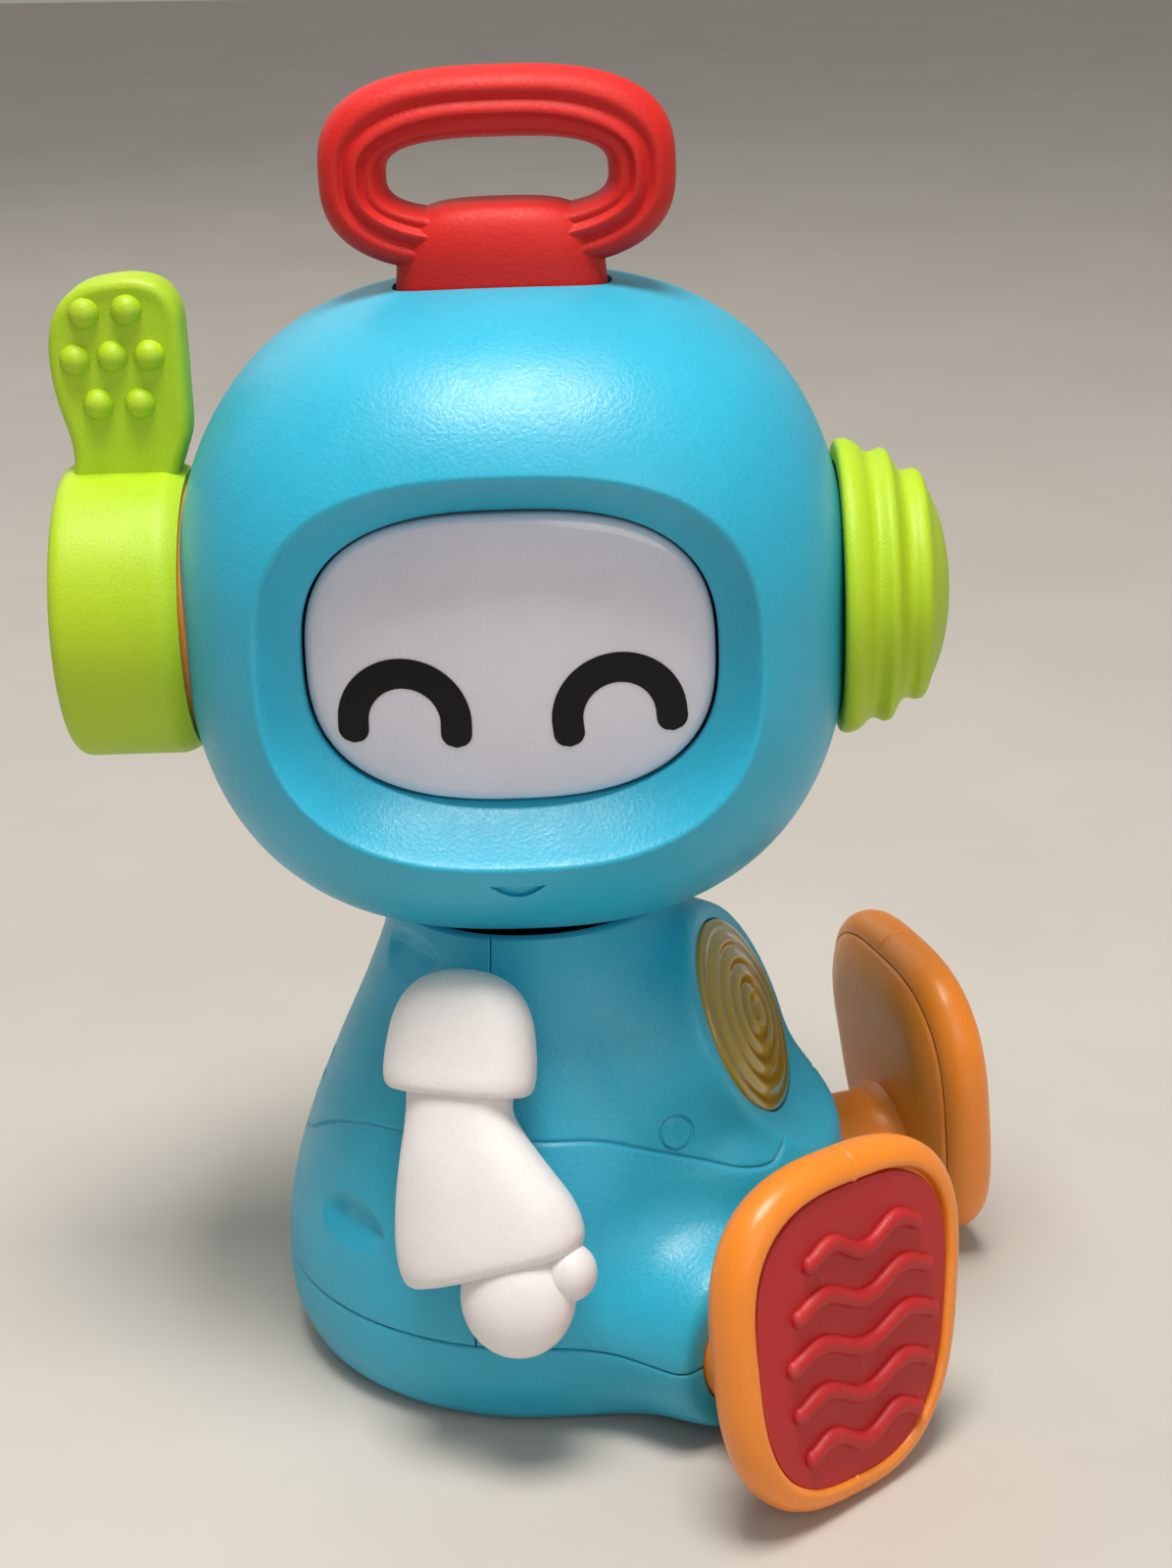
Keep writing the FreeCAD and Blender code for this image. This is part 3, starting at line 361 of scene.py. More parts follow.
def hoop(bm, radius, section, matrix, steps=64, sides=12):
    # a ring of round section, spun round its own Z
    circle = bmesh.ops.create_circle(bm, segments=sides, radius=section * mm)["verts"]
    bmesh.ops.rotate(bm, verts=circle, cent=(0, 0, 0), matrix=Matrix.Rotation(math.pi / 2, 3, "X"))
    bmesh.ops.translate(bm, verts=circle, vec=(radius * mm, 0, 0))
    bmesh.ops.spin(bm, geom=circle + list(bm.edges), cent=(0, 0, 0), axis=(0, 0, 1), dvec=(0, 0, 0),
                   angle=2 * math.pi, steps=steps, use_merge=True)
    bmesh.ops.transform(bm, matrix=matrix, verts=bm.verts)


def lathe(bm, profile, steps=128):
    # profile: distance along the axis against radius
    verts = [bm.verts.new((along * mm, 0, radius * mm)) for along, radius in profile]
    edges = [bm.edges.new(pair) for pair in zip(verts, verts[1:])]
    bmesh.ops.spin(bm, geom=verts + edges, cent=(0, 0, 0), axis=(1, 0, 0), dvec=(0, 0, 0),
                   angle=2 * math.pi, steps=steps, use_merge=True)


torso = {
    # height, half width, reach to the front, reach to the back
    "stations": ((0.0, 41.5, 41.0, 43.5), (2.0, 44.2, 43.6, 46.4), (6.0, 46.2, 45.2, 48.8),
                 (18.5, 47.6, 46.8, 50.2),
                 (32.0, 46.2, 46.4, 48.2), (46.0, 42.8, 44.6, 43.6), (60.0, 37.2, 41.0, 37.6),
                 (74.0, 31.2, 34.6, 31.2), (84.0, 27.4, 29.0, 27.4), (90.5, 26.1, 26.7, 26.1)),
    "belly": {"centre": (-22.0, 34.0), "half": (31.0, 36.6), "up": 22.0, "down": 36.0},
    "seam": 18.5, "top": 90.5, "wall": 2.3, "gap": 0.11, "lip": 0.4,
    # the panel line's height against the angle from the back, in degrees
    "panelLine": ((0, 40.0), (20.8, 43.0), (37.5, 49.8), (53, 53.5), (68, 55.0), (107, 56.0), (122, 55.3),
                  (137, 51.6), (146, 48.9), (153.4, 46.6), (158.7, 46.4), (166, 50.5), (180, 54.0)),
    "panelEnd": 163.0, "panelDepth": 0.55,
    # angle, height, half angle, half height, depth
    "dimples": ((51.0, 83.6, 17.0, 4.5, 2.1), (55.0, 35.8, 10.8, 5.0, 2.3)),
    "columns": 230, "density": 0.62,
}
button = {"spot": Vector((0, -40.35, 66.26)), "tilt": 23.4, "radius": 18.7}
leg = {"spot": Vector((50.76, -71.07, 31.0)), "splay": 33.0, "roll": 5.75, "axisHeight": 18.5, "mouth": 27.0}
torsoMiddle = Vector((0, 0, 50)) * mm
buttonAxis = Vector((0, -math.cos(math.radians(button["tilt"])), math.sin(math.radians(button["tilt"]))))


def softMin(a, b, k):
    h = np.clip(0.5 + 0.5 * (b - a) / k, 0, 1)
    return b + (a - b) * h - k * h * (1 - h)


def softMax(a, b, k):
    return -softMin(-a, -b, k)


def torsoField(x, y, z):
    # below zero inside the torso; close to a distance in millimetres
    side = bend(torso["stations"], z)
    reach = np.where(y < 0, side[:, 1], side[:, 2])
    body = (np.hypot(x / side[:, 0], y / reach) - 1) * np.minimum(side[:, 0], reach)
    belly = torso["belly"]
    by, bz = y - belly["centre"][0], z - belly["centre"][1]
    halfY = np.where(by < 0, belly["half"][1], 16.0)
    halfZ = np.where(bz > 0, belly["up"], belly["down"])
    plan = np.abs(x / belly["half"][0]) ** 2.4 + np.abs(by / halfY) ** 2.4
    lump = ((plan ** 1.25 + np.abs(bz / halfZ) ** 3.0) ** (1 / 3.0) - 1) * 26.0
    field = softMin(body, lump, 4.0)
    hipAngle = math.radians(leg["splay"])
    for side in (-1, 1):
        ax, ay = -side * math.sin(hipAngle), math.cos(hipAngle)
        dx, dy, dz = x - side * leg["spot"].x, y - leg["spot"].y, z - leg["axisHeight"]
        along = dx * ax + dy * ay
        off = np.sqrt((dx - along * ax) ** 2 + (dy - along * ay) ** 2 + dz ** 2)
        cone = off - np.interp(along, (27, 52, 66), (16.6, 22.5, 25.0))
        thigh = softMax(softMax(cone, leg["mouth"] - along, 3.0), along - 56.0, 6.0)
        field = softMin(field, thigh, 7.0)
    dx, dy, dz = x, y - button["spot"].y, z - button["spot"].z
    along = dy * buttonAxis.y + dz * buttonAxis.z
    off = np.sqrt(dx ** 2 + (dy - along * buttonAxis.y) ** 2 + (dz - along * buttonAxis.z) ** 2)
    cone = off - np.interp(along, (-16, 1), (27.5, 22.2))
    boss = softMax(softMax(cone, along - 0.9, 2.4), -18.0 - along, 6.0)
    field = softMin(field, boss, 6.0)
    # a scoop that keeps the belly clear of the button's face
    scoop = softMax(off - 20.3 - 1.1 * (along - 0.9), 0.9 - along, 2.0)
    return softMax(field, -scoop, 3.0)


def torsoReach(turn, z):
    # distance from the torso's middle line to its surface, along each heading
    dx, dy = -np.sin(turn), np.cos(turn)
    outer = np.full(len(turn), 92.0)
    inner = np.full(len(turn), 92.0)
    searching = np.ones(len(turn), bool)
    for step in np.arange(92.0, 4.0, -1.5):
        hit = searching & (torsoField(dx * step, dy * step, z) < 0)
        inner[hit] = step
        outer[hit] = step + 1.5
        searching &= ~hit
    for _ in range(16):
        middle = (outer + inner) / 2
        inside = torsoField(dx * middle, dy * middle, z) < 0
        inner = np.where(inside, middle, inner)
        outer = np.where(inside, outer, middle)
    return (outer + inner) / 2


def lipped(length, count, gap, lip):
    # places along a run with small rounded ends, and how far each one is set in
    inner = np.linspace(gap + lip * 2, length - gap - lip * 2, count)
    share = np.array((0.0, 0.25, 0.6, 1.2))
    drop = np.array((lip, lip * 0.55, lip * 0.2, lip * 0.02))
    places = np.concatenate((gap + share * lip, inner, length - gap - share[::-1] * lip))
    return places, np.concatenate((drop, np.zeros(count), drop[::-1]))


def panelHeight(turn):
    degrees = np.degrees(np.arccos(np.clip(np.cos(turn), -1, 1)))
    return bend(torso["panelLine"], degrees)[:, 0], degrees


def dimpleDepth(turn, z):
    degrees = np.degrees(turn)
    total = np.zeros(len(turn))
    for angle, height, halfAngle, halfHeight, depth in torso["dimples"]:
        for centre in (angle, -angle, 360 - angle):
            across = (degrees - centre) / halfAngle
            chord = np.sqrt(np.clip(1 - across ** 2, 0, 1)) * halfHeight
            share = np.clip(1 - np.abs(z - height) / np.maximum(chord, 0.01), 0, 1)
            total += depth * np.minimum(share * 1.15, 1.0) * np.minimum(1.0, chord / halfHeight * 1.3)
    return total


def torsoShell(start, end, low, high, topRim):
    # columns run round the body; levels climb to the panel line and on to the top
    gap, lip = torso["gap"], torso["lip"]
    width = math.radians(end - start) * 45
    columns = int(width / torso["density"])
    places, columnDrop = lipped(width, columns, gap, lip)
    turns = math.radians(start) + places / 45.0
    if topRim:
        levels = [(0.0, gap + low, lip), (0.0, gap + low + 0.1, lip * 0.5),
                  (0.0, gap + low + 0.3, lip * 0.15)]
        levels += [(s, (1 - s) * (low + 0.6) - 0.9 * s, 0.0) for s in np.linspace(0, 1, 52)]
        groove = ((-0.6, 0.06), (-0.4, 0.3), (-0.2, 0.85), (0.0, 1.0), (0.2, 0.85), (0.4, 0.3), (0.6, 0.06))
        levels += [(1.0, offset, -depth) for offset, depth in groove]
        levels += [(1 - s, 0.9 * (1 - s) + high * s, 0.0) for s in np.linspace(0, 0.985, 56)]
        levels += [(0.0, high - 0.35, 0.15), (0.0, high - 0.1, 0.6), (0.0, high, 1.3)]
    else:
        levels = [(0.0, low, 3.0), (0.0, low, 0.8), (0.0, low + 0.15, 0.3), (0.0, low + 0.5, 0.05)]
        levels += [(0.0, z, 0.0) for z in np.linspace(low + 1.0, high - gap - 0.8, 26)]
        levels += [(0.0, high - gap - 0.3, lip * 0.15), (0.0, high - gap - 0.1, lip * 0.5),
                   (0.0, high - gap, lip)]
    levels = np.array(levels)

    def shape(u, v):
        column = np.rint(u * (len(turns) - 1)).astype(int)
        row = np.rint(v * (len(levels) - 1)).astype(int)
        turn = turns[column]
        line, degrees = panelHeight(turn)
        z = levels[row, 0] * line + levels[row, 1]
        drop = levels[row, 2]
        fade = np.clip((torso["panelEnd"] + 2.0 - degrees) / 3.0, 0, 1)
        inset = np.where(drop < 0, -drop * torso["panelDepth"] * fade, drop)
        inset = np.maximum(inset, columnDrop[column]) + dimpleDepth(turn, z)
        reach = torsoReach(turn, z) - inset
        return -np.sin(turn) * reach, np.cos(turn) * reach, z

    bm = bmesh.new()
    sheet(bm, len(turns) - 1, len(levels) - 1, shape)
    return bm


def buildTorso():
    wall = torso["wall"]
    buttonPlace = placeFrom(button["spot"] * mm, Vector((1, 0, 0)), buttonAxis)
    front = finishMesh(torsoShell(90, 270, torso["seam"], torso["top"], True), "torsoFront")
    outwardFrom(front, torsoMiddle)
    thicken(front, wall)
    cutters = [rodCutter(button["radius"] + 0.35, -9, 30, buttonPlace, 96)]
    for side in (-1, 1):
        cutters.append(rodCutter(11.9, 15, 70, legPlace(side, "mouth"), 96))
    cutters.append(ringCutter(141.6, 54.6, 3.1))
    carve(front, cutters)
    harden(front)
    wear(front, "teal_shell", "torso", ["torso_front_shell"])
    back = finishMesh(torsoShell(-90, 90, torso["seam"], torso["top"], True), "torsoBack")
    outwardFrom(back, torsoMiddle)
    thicken(back, wall)
    cutters = []
    for step in range(-2, 3):
        half = math.sqrt(12.0 ** 2 - (4.4 * step) ** 2)
        cutters.append(boxCutter(-half, half, 30, 60, 51.1 + 4.4 * step, 52.9 + 4.4 * step))
    carve(back, cutters)
    harden(back)
    wear(back, "teal_shell", "torso", ["torso_back_shell"])


def legPlace(side, mouth=None):
    # local Z runs from the sole into the body when mouth is named, else local Y does
    heading = Vector((-side * math.sin(math.radians(leg["splay"])), math.cos(math.radians(leg["splay"])), 0))
    if mouth:
        spot = Vector((side * leg["spot"].x, leg["spot"].y, leg["axisHeight"])) * mm
        return placeFrom(spot, Vector((0, 0, 1)), heading)
    spot = Vector((side * leg["spot"].x, leg["spot"].y, leg["spot"].z)) * mm
    place = Matrix.Translation(spot) @ Matrix.Rotation(math.radians(side * leg["splay"]), 4, "Z")
    if side < 0:
        axis = Matrix.Translation((0, 0, (leg["axisHeight"] - leg["spot"].z) * mm))
        place = place @ axis @ Matrix.Rotation(math.radians(leg["roll"]), 4, "Y") @ axis.inverted()
    return place


def ringCutter(degrees, height, radius):
    turn = np.array([math.radians(degrees)])
    z = np.array([height])
    near = torsoReach(turn, z)[0]
    step = np.array([math.radians(2.0)])
    here = Vector((-math.sin(turn[0]) * near, math.cos(turn[0]) * near, height))
    sideReach = torsoReach(turn + step, z)[0]
    aside = Vector((-math.sin(turn[0] + step[0]) * sideReach, math.cos(turn[0] + step[0]) * sideReach,
                    height))
    topReach = torsoReach(turn, z + 1.5)[0]
    above = Vector((-math.sin(turn[0]) * topReach, math.cos(turn[0]) * topReach, height + 1.5))
    normal = (aside - here).cross(above - here).normalized()
    if normal.dot(Vector((here.x, here.y, 0))) < 0:
        normal = -normal
    bm = bmesh.new()
    place = Matrix.Translation(here * mm) @ normal.to_track_quat("Z", "Y").to_matrix().to_4x4()
    hoop(bm, radius, 0.42, place, 48, 10)
    return finishMesh(bm, "cutter")


def buildBase():
    bm = torsoShell(0, 360, 0.0, torso["seam"], False)
    bmesh.ops.remove_doubles(bm, verts=bm.verts, dist=0.0004)
    loops = [edge for edge in bm.edges if edge.is_boundary]
    bmesh.ops.holes_fill(bm, edges=loops, sides=0)
    base = finishMesh(bm, "baseTub")
    bores = [rodCutter(2.8, -1, 5, Matrix.Translation(Vector((x, y, 0)) * mm), 32)
                for x, y in ((33.5, 19.5), (-33.5, 19.5), (0.0, -37.0))]
    cutters = bores + [boxCutter(-20.3, 20.3, -24.8, 35.3, -1, 1.6),
                       boxCutter(-7.5, 7.5, -32.9, -26.1, -1, 0.9),
                          boxCutter(-5.0, 5.0, -31.9, -27.1, -1, 4.0)]
    for side in (-1, 1):
        cutters.append(rodCutter(11.9, 15, 55, legPlace(side, "mouth"), 96))
    carve(base, cutters)
    harden(base)
    wear(base, "teal_shell", "torso", ["base_shell"])


def buildButton():
    place = placeFrom(button["spot"] * mm, Vector((1, 0, 0)), buttonAxis)
    radius = button["radius"]
    profile = [(-5.0, radius - 2.0), (-5.0, radius), (0.6, radius)]
    for share in np.linspace(1.0, 0.0, 70):
        r = share * (radius - 0.3)
        dome = 0.9 + 2.3 * (1 - share ** 2)
        ripple = 0.28 * math.cos(2 * math.pi * r / 3.6) * min(1.0, (1 - share) * 8)
        profile.append((dome + ripple, r))
    bm = bmesh.new()
    lathe(bm, profile)
    bmesh.ops.rotate(bm, verts=bm.verts, cent=(0, 0, 0), matrix=Matrix.Rotation(-math.pi / 2, 3, "Y"))
    piece = finishMesh(bm, "buttonLens", place)
    harden(piece, 50)
    wear(piece, "amber_lens", "button", ["chest_button_lens"], amberGlass())


def amberGlass():
    # painted shade: the amber base colour darkens and lightens in concentric rings spaced like the lens's ripples
    material = plastic("amberLens", finishes["amber_lens"])
    tree = material.node_tree
    shader = tree.nodes["Principled BSDF"]
    where = tree.nodes.new("ShaderNodeTexCoord").outputs["Object"]
    offset = tree.nodes.new("ShaderNodeVectorMath")
    offset.operation = "DISTANCE"
    tree.links.new(where, offset.inputs[0])
    offset.inputs[1].default_value = button["spot"] * mm
    wave = mathNode(tree, "SINE", mathNode(tree, "MULTIPLY", offset.outputs["Value"], 1745.0))
    ringShade = rangeNode(tree, wave, -1.0, 1.0, 0.0, 1.0)
    # darker and lighter amber at the two ends of the painted ring shade
    ramp = tree.nodes.new("ShaderNodeValToRGB")
    ramp.color_ramp.elements[0].color = (0.200, 0.150, 0.010, 1)
    ramp.color_ramp.elements[1].color = (0.400, 0.305, 0.040, 1)
    tree.links.new(ringShade, ramp.inputs["Fac"])
    tree.links.new(ramp.outputs["Color"], shader.inputs["Base Color"])
    return material


head = {
    "half": (59.5, 54.0, 58.0), "power": 2.5, "split": 20.0, "wall": 2.4, "gap": 0.11, "lip": 0.4,
    "window": (34.75, 25.2), "windowDepth": -36.0, "windowPower": 2.7, "windowGap": 0.45,
    "slope": (1.043, 0.703), "rimRound": 0.9, "bow": 0.9, "columns": 240,
}


def headReach(turn, y):
    a, b, c = head["half"]
    p = head["power"]
    level = np.clip(1 - np.abs(y / b) ** p, 0, 1) ** (1 / p)
    return level * superRadius(turn, a, c, p)


def funnelReach(turn, y):
    out = np.maximum(0.0, head["windowDepth"] - y)
    gap = head["windowGap"]
    return superRadius(turn, head["window"][0] + gap + head["slope"][0] * out,
                       head["window"][1] + gap + head["slope"][1] * out, head["windowPower"])


def rimDepth(turn):
    near, far = np.full(len(turn), -53.9), np.full(len(turn), -36.0)
    for _ in range(30):
        middle = (near + far) / 2
        outside = funnelReach(turn, middle) > headReach(turn, middle)
        near = np.where(outside, middle, near)
        far = np.where(outside, far, middle)
    return (near + far) / 2


def buildHeadFront():
    turns = np.linspace(0, 2 * math.pi, head["columns"] + 1)
    gap, lip, split = head["gap"], head["lip"], head["split"]
    half = head["half"][1]
    power = head["power"]
    crease = rimDepth(turns)
    radius = head["rimRound"]

    def surface(angle, turn):
        # angle from the front pole, carried to a depth on the superellipsoid
        y = -half * np.sign(np.cos(angle)) * np.abs(np.cos(angle)) ** (2 / power)
        return y, headReach(turn, y)

    creaseAngle = np.arccos(np.clip((-crease / half), 0, 1) ** (power / 2))
    endAngle = math.pi - math.acos((split / half) ** (power / 2))
    funnelRows, bendRows, skinRows = 10, 9, 74
    rows = []
    rows += [("lip", depth, grow) for depth, grow in ((-33.2, 0.0), (-35.2, 0.0), (-35.75, 0.12),
                                                      (-36.0, 0.5))]
    rows += [("funnel", s, 0) for s in np.linspace(0.06, 1, funnelRows)]
    rows += [("bend", s, 0) for s in np.linspace(0, 1, bendRows + 2)[1:-1]]
    rows += [("skin", s, 0) for s in np.linspace(0, 1, skinRows)]
    rows += [("edge", offset, drop) for offset, drop in ((0.25, 0.15), (0.1, 0.5), (0.0, 1.0))]

    def shape(u, v):
        column = np.rint(u * (len(turns) - 1)).astype(int)
        row = np.rint(v * (len(rows) - 1)).astype(int)
        turn, rim, start = turns[column], crease[column], creaseAngle[column]
        spread = funnelReach(turn, rim)
        base = funnelReach(turn, np.full(len(turn), head["windowDepth"]))
        run = np.hypot(spread - base, rim - head["windowDepth"])
        back = np.clip(radius / run, 0, 0.45)
        f1r, f1y = spread + (base - spread) * back, rim + (head["windowDepth"] - rim) * back
        startAngle = start + radius / 56.0
        f2y, f2r = surface(startAngle, turn)
        reach, depth = np.zeros(len(turn)), np.zeros(len(turn))
        for index, (kind, value, extra) in enumerate(rows):
            at = row == index
            if kind == "lip":
                reach[at], depth[at] = base[at] + extra * 0.35, value
            elif kind == "funnel":
                reach[at] = base[at] + (f1r - base)[at] * value
                depth[at] = head["windowDepth"] + (f1y - head["windowDepth"])[at] * value
                depth[at] += head["bow"] * 4 * value * (1 - value)
            elif kind == "bend":
                a, b, c = (1 - value) ** 2, 2 * value * (1 - value), value ** 2
                reach[at] = (a * f1r + b * spread + c * f2r)[at]
                depth[at] = (a * f1y + b * rim + c * f2y)[at]
            elif kind == "skin":
                stop = endAngle - (gap + 0.9) / 54.0
                y, r = surface(startAngle + (stop - startAngle) * value, turn)
                reach[at], depth[at] = r[at], y[at]
            else:
                y = split - gap - value * 1.2
                reach[at], depth[at] = headReach(turn, np.full(len(turn), y))[at] - lip * extra, y
        return np.cos(turn) * reach, depth, np.sin(turn) * reach

    bm = bmesh.new()
    sheet(bm, len(turns) - 1, len(rows) - 1, shape)
    piece = finishMesh(bm, "headFront", headPlace)
    outwardFrom(piece, headPlace.translation)
    thicken(piece, head["wall"])
    carve(piece, [pocketCutter(), smileCutter()])
    harden(piece)
    wear(piece, "teal_shell", "head", ["head_front_shell"])


def buildHeadBack():
    gap, lip, split = head["gap"], head["lip"], head["split"]
    half, power = head["half"][1], head["power"]
    startAngle = math.pi - math.acos((split / half) ** (power / 2))

    def shape(u, v):
        turn = u * 2 * math.pi
        rows = 63
        row = np.rint(v * rows).astype(int)
        angle = startAngle + (gap + 0.9) / 54.0 + (math.pi - startAngle - (gap + 0.9) / 54.0) * (row - 3) / (rows - 3)
        y = -half * np.sign(np.cos(angle)) * np.abs(np.cos(angle)) ** (2 / power)
        drop = np.zeros(len(turn))
        for index, (offset, amount) in enumerate(((0.0, 1.0), (0.12, 0.5), (0.3, 0.15))):
            y = np.where(row == index, split + gap + offset, y)
            drop = np.where(row == index, lip * amount, drop)
        reach = np.maximum(headReach(turn, np.minimum(y, half)) - drop, 0)
        return np.cos(turn) * reach, y, np.sin(turn) * reach

    bm = bmesh.new()
    sheet(bm, head["columns"], 63, shape)
    piece = finishMesh(bm, "headBack", headPlace)
    outwardFrom(piece, headPlace.translation)
    thicken(piece, head["wall"])
    cutters = []
    for x, z in ((-34.0, 24.0), (34.0, 24.0), (-34.0, -24.0), (34.0, -24.0)):
        spot = headPlace @ Matrix.Translation(Vector((x, 26.0, z)) * mm) @ Matrix.Rotation(-math.pi / 2, 4,
                                                                                           "X")
        cutters.append(rodCutter(2.8, 0, 40, spot, 32))
    carve(piece, cutters)
    harden(piece)
    wear(piece, "teal_shell", "head", ["head_back_shell"])


def pocketCutter():
    bm = bmesh.new()

    def shape(u, v):
        turn = u * 2 * math.pi
        row = np.rint(v * 3).astype(int)
        reach = superRadius(turn, 19.1, 10.1, 2.6) * np.where((row == 0) | (row == 3), 0.0, 1.0)
        return np.cos(turn) * reach, np.sin(turn) * reach, np.where(row < 2, 53.4, 75.0)

    sheet(bm, 72, 3, shape)
    return finishMesh(bm, "cutter", headPlace)


def smileCutter():
    # crescent pressed into the chin: a thin lens-shaped wedge
    bm = bmesh.new()

    def shape(u, v):
        x = -5.0 + 9.9 * u
        share = np.sin(np.pi * u)
        row = np.rint(v * 3).astype(int)
        top = -37.5 - 0.5 * share
        bottom = -37.5 - 2.9 * share
        z = np.where((row == 0) | (row == 3), top, bottom)
        y = np.where(row < 2, -56.0, -chinDepth(x, z) + 0.9)
        return x, y, z

    sheet(bm, 24, 3, shape)
    bmesh.ops.remove_doubles(bm, verts=bm.verts, dist=0.00001)
    bmesh.ops.contextual_create(bm, geom=[edge for edge in bm.edges if edge.is_boundary])
    bmesh.ops.holes_fill(bm, edges=[edge for edge in bm.edges if edge.is_boundary], sides=0)
    return finishMesh(bm, "cutter", headPlace)


def chinDepth(x, z):
    a, b, c = head["half"]
    p = head["power"]
    return b * np.clip(1 - np.abs(x / a) ** p - np.abs(z / c) ** p, 0, 1) ** (1 / p)


def panelDepth(x, z):
    return -40.2 + (x ** 2 + z ** 2) / 250.0


def buildFace():
    def shape(u, v):
        turn = u * 2 * math.pi
        row = np.rint(v * 29).astype(int)
        edge = superRadius(turn, head["window"][0], head["window"][1], head["windowPower"])
        share = np.clip(row / 22.0, 0, 1) * 0.955
        reach = edge * share
        x, z = np.cos(turn) * reach, np.sin(turn) * reach
        y = panelDepth(x, z)
        roll = np.clip((row - 22) / 5.0, 0, 1) * math.pi / 2
        lastX, lastZ = np.cos(turn) * edge * 0.955, np.sin(turn) * edge * 0.955
        lastY = panelDepth(lastX, lastZ)
        rolled = row > 22
        reach = np.where(rolled, edge * (0.955 + 0.045 * np.sin(roll)), reach)
        x, z = np.cos(turn) * reach, np.sin(turn) * reach
        slope = (edge * 0.045) * np.sin(roll) * 0.30
        y = np.where(rolled, lastY + slope + 1.5 * (1 - np.cos(roll)), y)
        y = np.where(row > 27, -33.6, y)
        x = np.where(row == 29, x * 0.93, x)
        z = np.where(row == 29, z * 0.93, z)
        return x, y, z

    bm = bmesh.new()
    sheet(bm, 160, 29, shape)
    piece = finishMesh(bm, "faceWindow", headPlace)
    outwardFrom(piece, headPlace @ Vector((0, 0, 0)))
    thicken(piece, 1.6)
    harden(piece, 50)
    wear(piece, "face_white", "head", ["face_panel"])
    for name, centre, lean in (("eyeRight", -18.2, -2.0), ("eyeLeft", 18.2, 5.0)):
        buildEye(name, centre, math.radians(lean))


def buildEye(name, centre, lean):
    radius, stroke, legDrop = 8.8, 2.65, 1.7
    arcStart = legDrop
    arcLength = math.pi * radius
    total = arcLength + 2 * arcStart
    columns, rows = 84, 8

    def path(s):
        onLeft = s < arcStart
        onRight = s > arcStart + arcLength
        turn = math.pi - np.clip(s - arcStart, 0, arcLength) / radius
        x = centre + radius * np.cos(turn)
        z = -10.0 + radius * np.sin(turn)
        z = np.where(onLeft, -10.0 - (arcStart - s), z)
        z = np.where(onRight, -10.0 - (s - arcStart - arcLength), z)
        return x, z, turn

    def shape(u, v):
        s = -stroke + (total + 2 * stroke) * u
        over = np.maximum(-s, 0) + np.maximum(s - total, 0)
        half = np.sqrt(np.clip(stroke ** 2 - over ** 2, 0, None))
        x, z, turn = path(s)
        side = (v - 0.5) * 2 * half
        x = x + np.cos(turn) * side - centre
        z = z + np.sin(turn) * side + 10.0
        x, z = centre + x * math.cos(lean) - z * math.sin(lean), -10.0 + x * math.sin(lean) + z * math.cos(lean)
        return x, panelDepth(x, z) - 0.12, z

    bm = bmesh.new()
    sheet(bm, columns, rows, shape)
    piece = finishMesh(bm, name, headPlace)
    outwardFrom(piece, headPlace.translation)
    thicken(piece, 0.1)
    harden(piece, 50)
    wear(piece, "black_plastic", "head", (), eyeMaterial)


handle = {
    "outer": (30.6, 17.3, 76.2, 2.75), "inner": (19.0, 6.0, 75.6, 3.0), "depth": 7.4,
    "base": (18.6, 9.6), "baseLow": 53.6, "baseTop": 71.2,
}


def buildHandle():
    def lobes(w):
        # w runs 0 to 1 from the outer edge to the inner one
        crown = (1 - np.abs(2 * w - 1) ** 3.2) ** 0.5
        dips = 0.0
        for at, deep, wide in ((0.40, 1.05, 0.075), (0.68, 0.85, 0.065)):
            dips = dips + deep * np.exp(-((w - at) / wide) ** 2)
        swell = 0.5 * np.exp(-((w - 0.60) / 0.07) ** 2) + 0.3 * np.exp(-((w - 0.85) / 0.06) ** 2)
        taper = 1.0 - 0.13 * w
        return handle["depth"] * crown * taper - dips + swell * crown

    def shape(u, v):
        turn = u * 2 * math.pi
        front = v < 0.5
        w = np.where(front, v * 2, 2 - v * 2)
        w = (1 - np.cos(np.pi * w)) / 2
        y = lobes(w) * np.where(front, -1, 1)
        outerR = superRadius(turn, handle["outer"][0], handle["outer"][1], handle["outer"][3])
        innerR = superRadius(turn, handle["inner"][0], handle["inner"][1], handle["inner"][3])
        ox, oz = np.cos(turn) * outerR, handle["outer"][2] + np.sin(turn) * outerR
        ix, iz = np.cos(turn) * innerR, handle["inner"][2] + np.sin(turn) * innerR
        return ox + (ix - ox) * w, y, oz + (iz - oz) * w

    bm = bmesh.new()
    sheet(bm, 200, 96, shape)
    ring = finishMesh(bm, "handleRing", headPlace)

    def baseShape(u, v):
        turn = u * 2 * math.pi
        row = np.rint(v * 26).astype(int)
        angle = np.clip((row - 8) / 18.0, 0, 1) * math.pi / 2
        low, top = handle["baseLow"], handle["baseTop"]
        rise = np.where(row <= 8, low + (row - 1) * 0.9, low + 6.3 + (top - low - 6.3) * np.sin(angle) ** 0.9)
        rise = np.where(row == 0, low, rise)
        share = np.where(row <= 8, 1.0 - 0.004 * np.maximum(row - 1, 0), 0.972 * np.cos(angle) ** 0.46)
        share = np.where(row == 0, 0.0, share)
        reach = superRadius(turn, handle["base"][0], handle["base"][1], 2.6) * share
        return np.cos(turn) * reach, np.sin(turn) * reach, rise

    bm = bmesh.new()
    sheet(bm, 120, 26, baseShape)
    base = finishMesh(bm, "handleFoot", headPlace)
    unite(ring, [base])
    harden(ring, 38)
    wear(ring, "red_grip", "head", ["handle"])


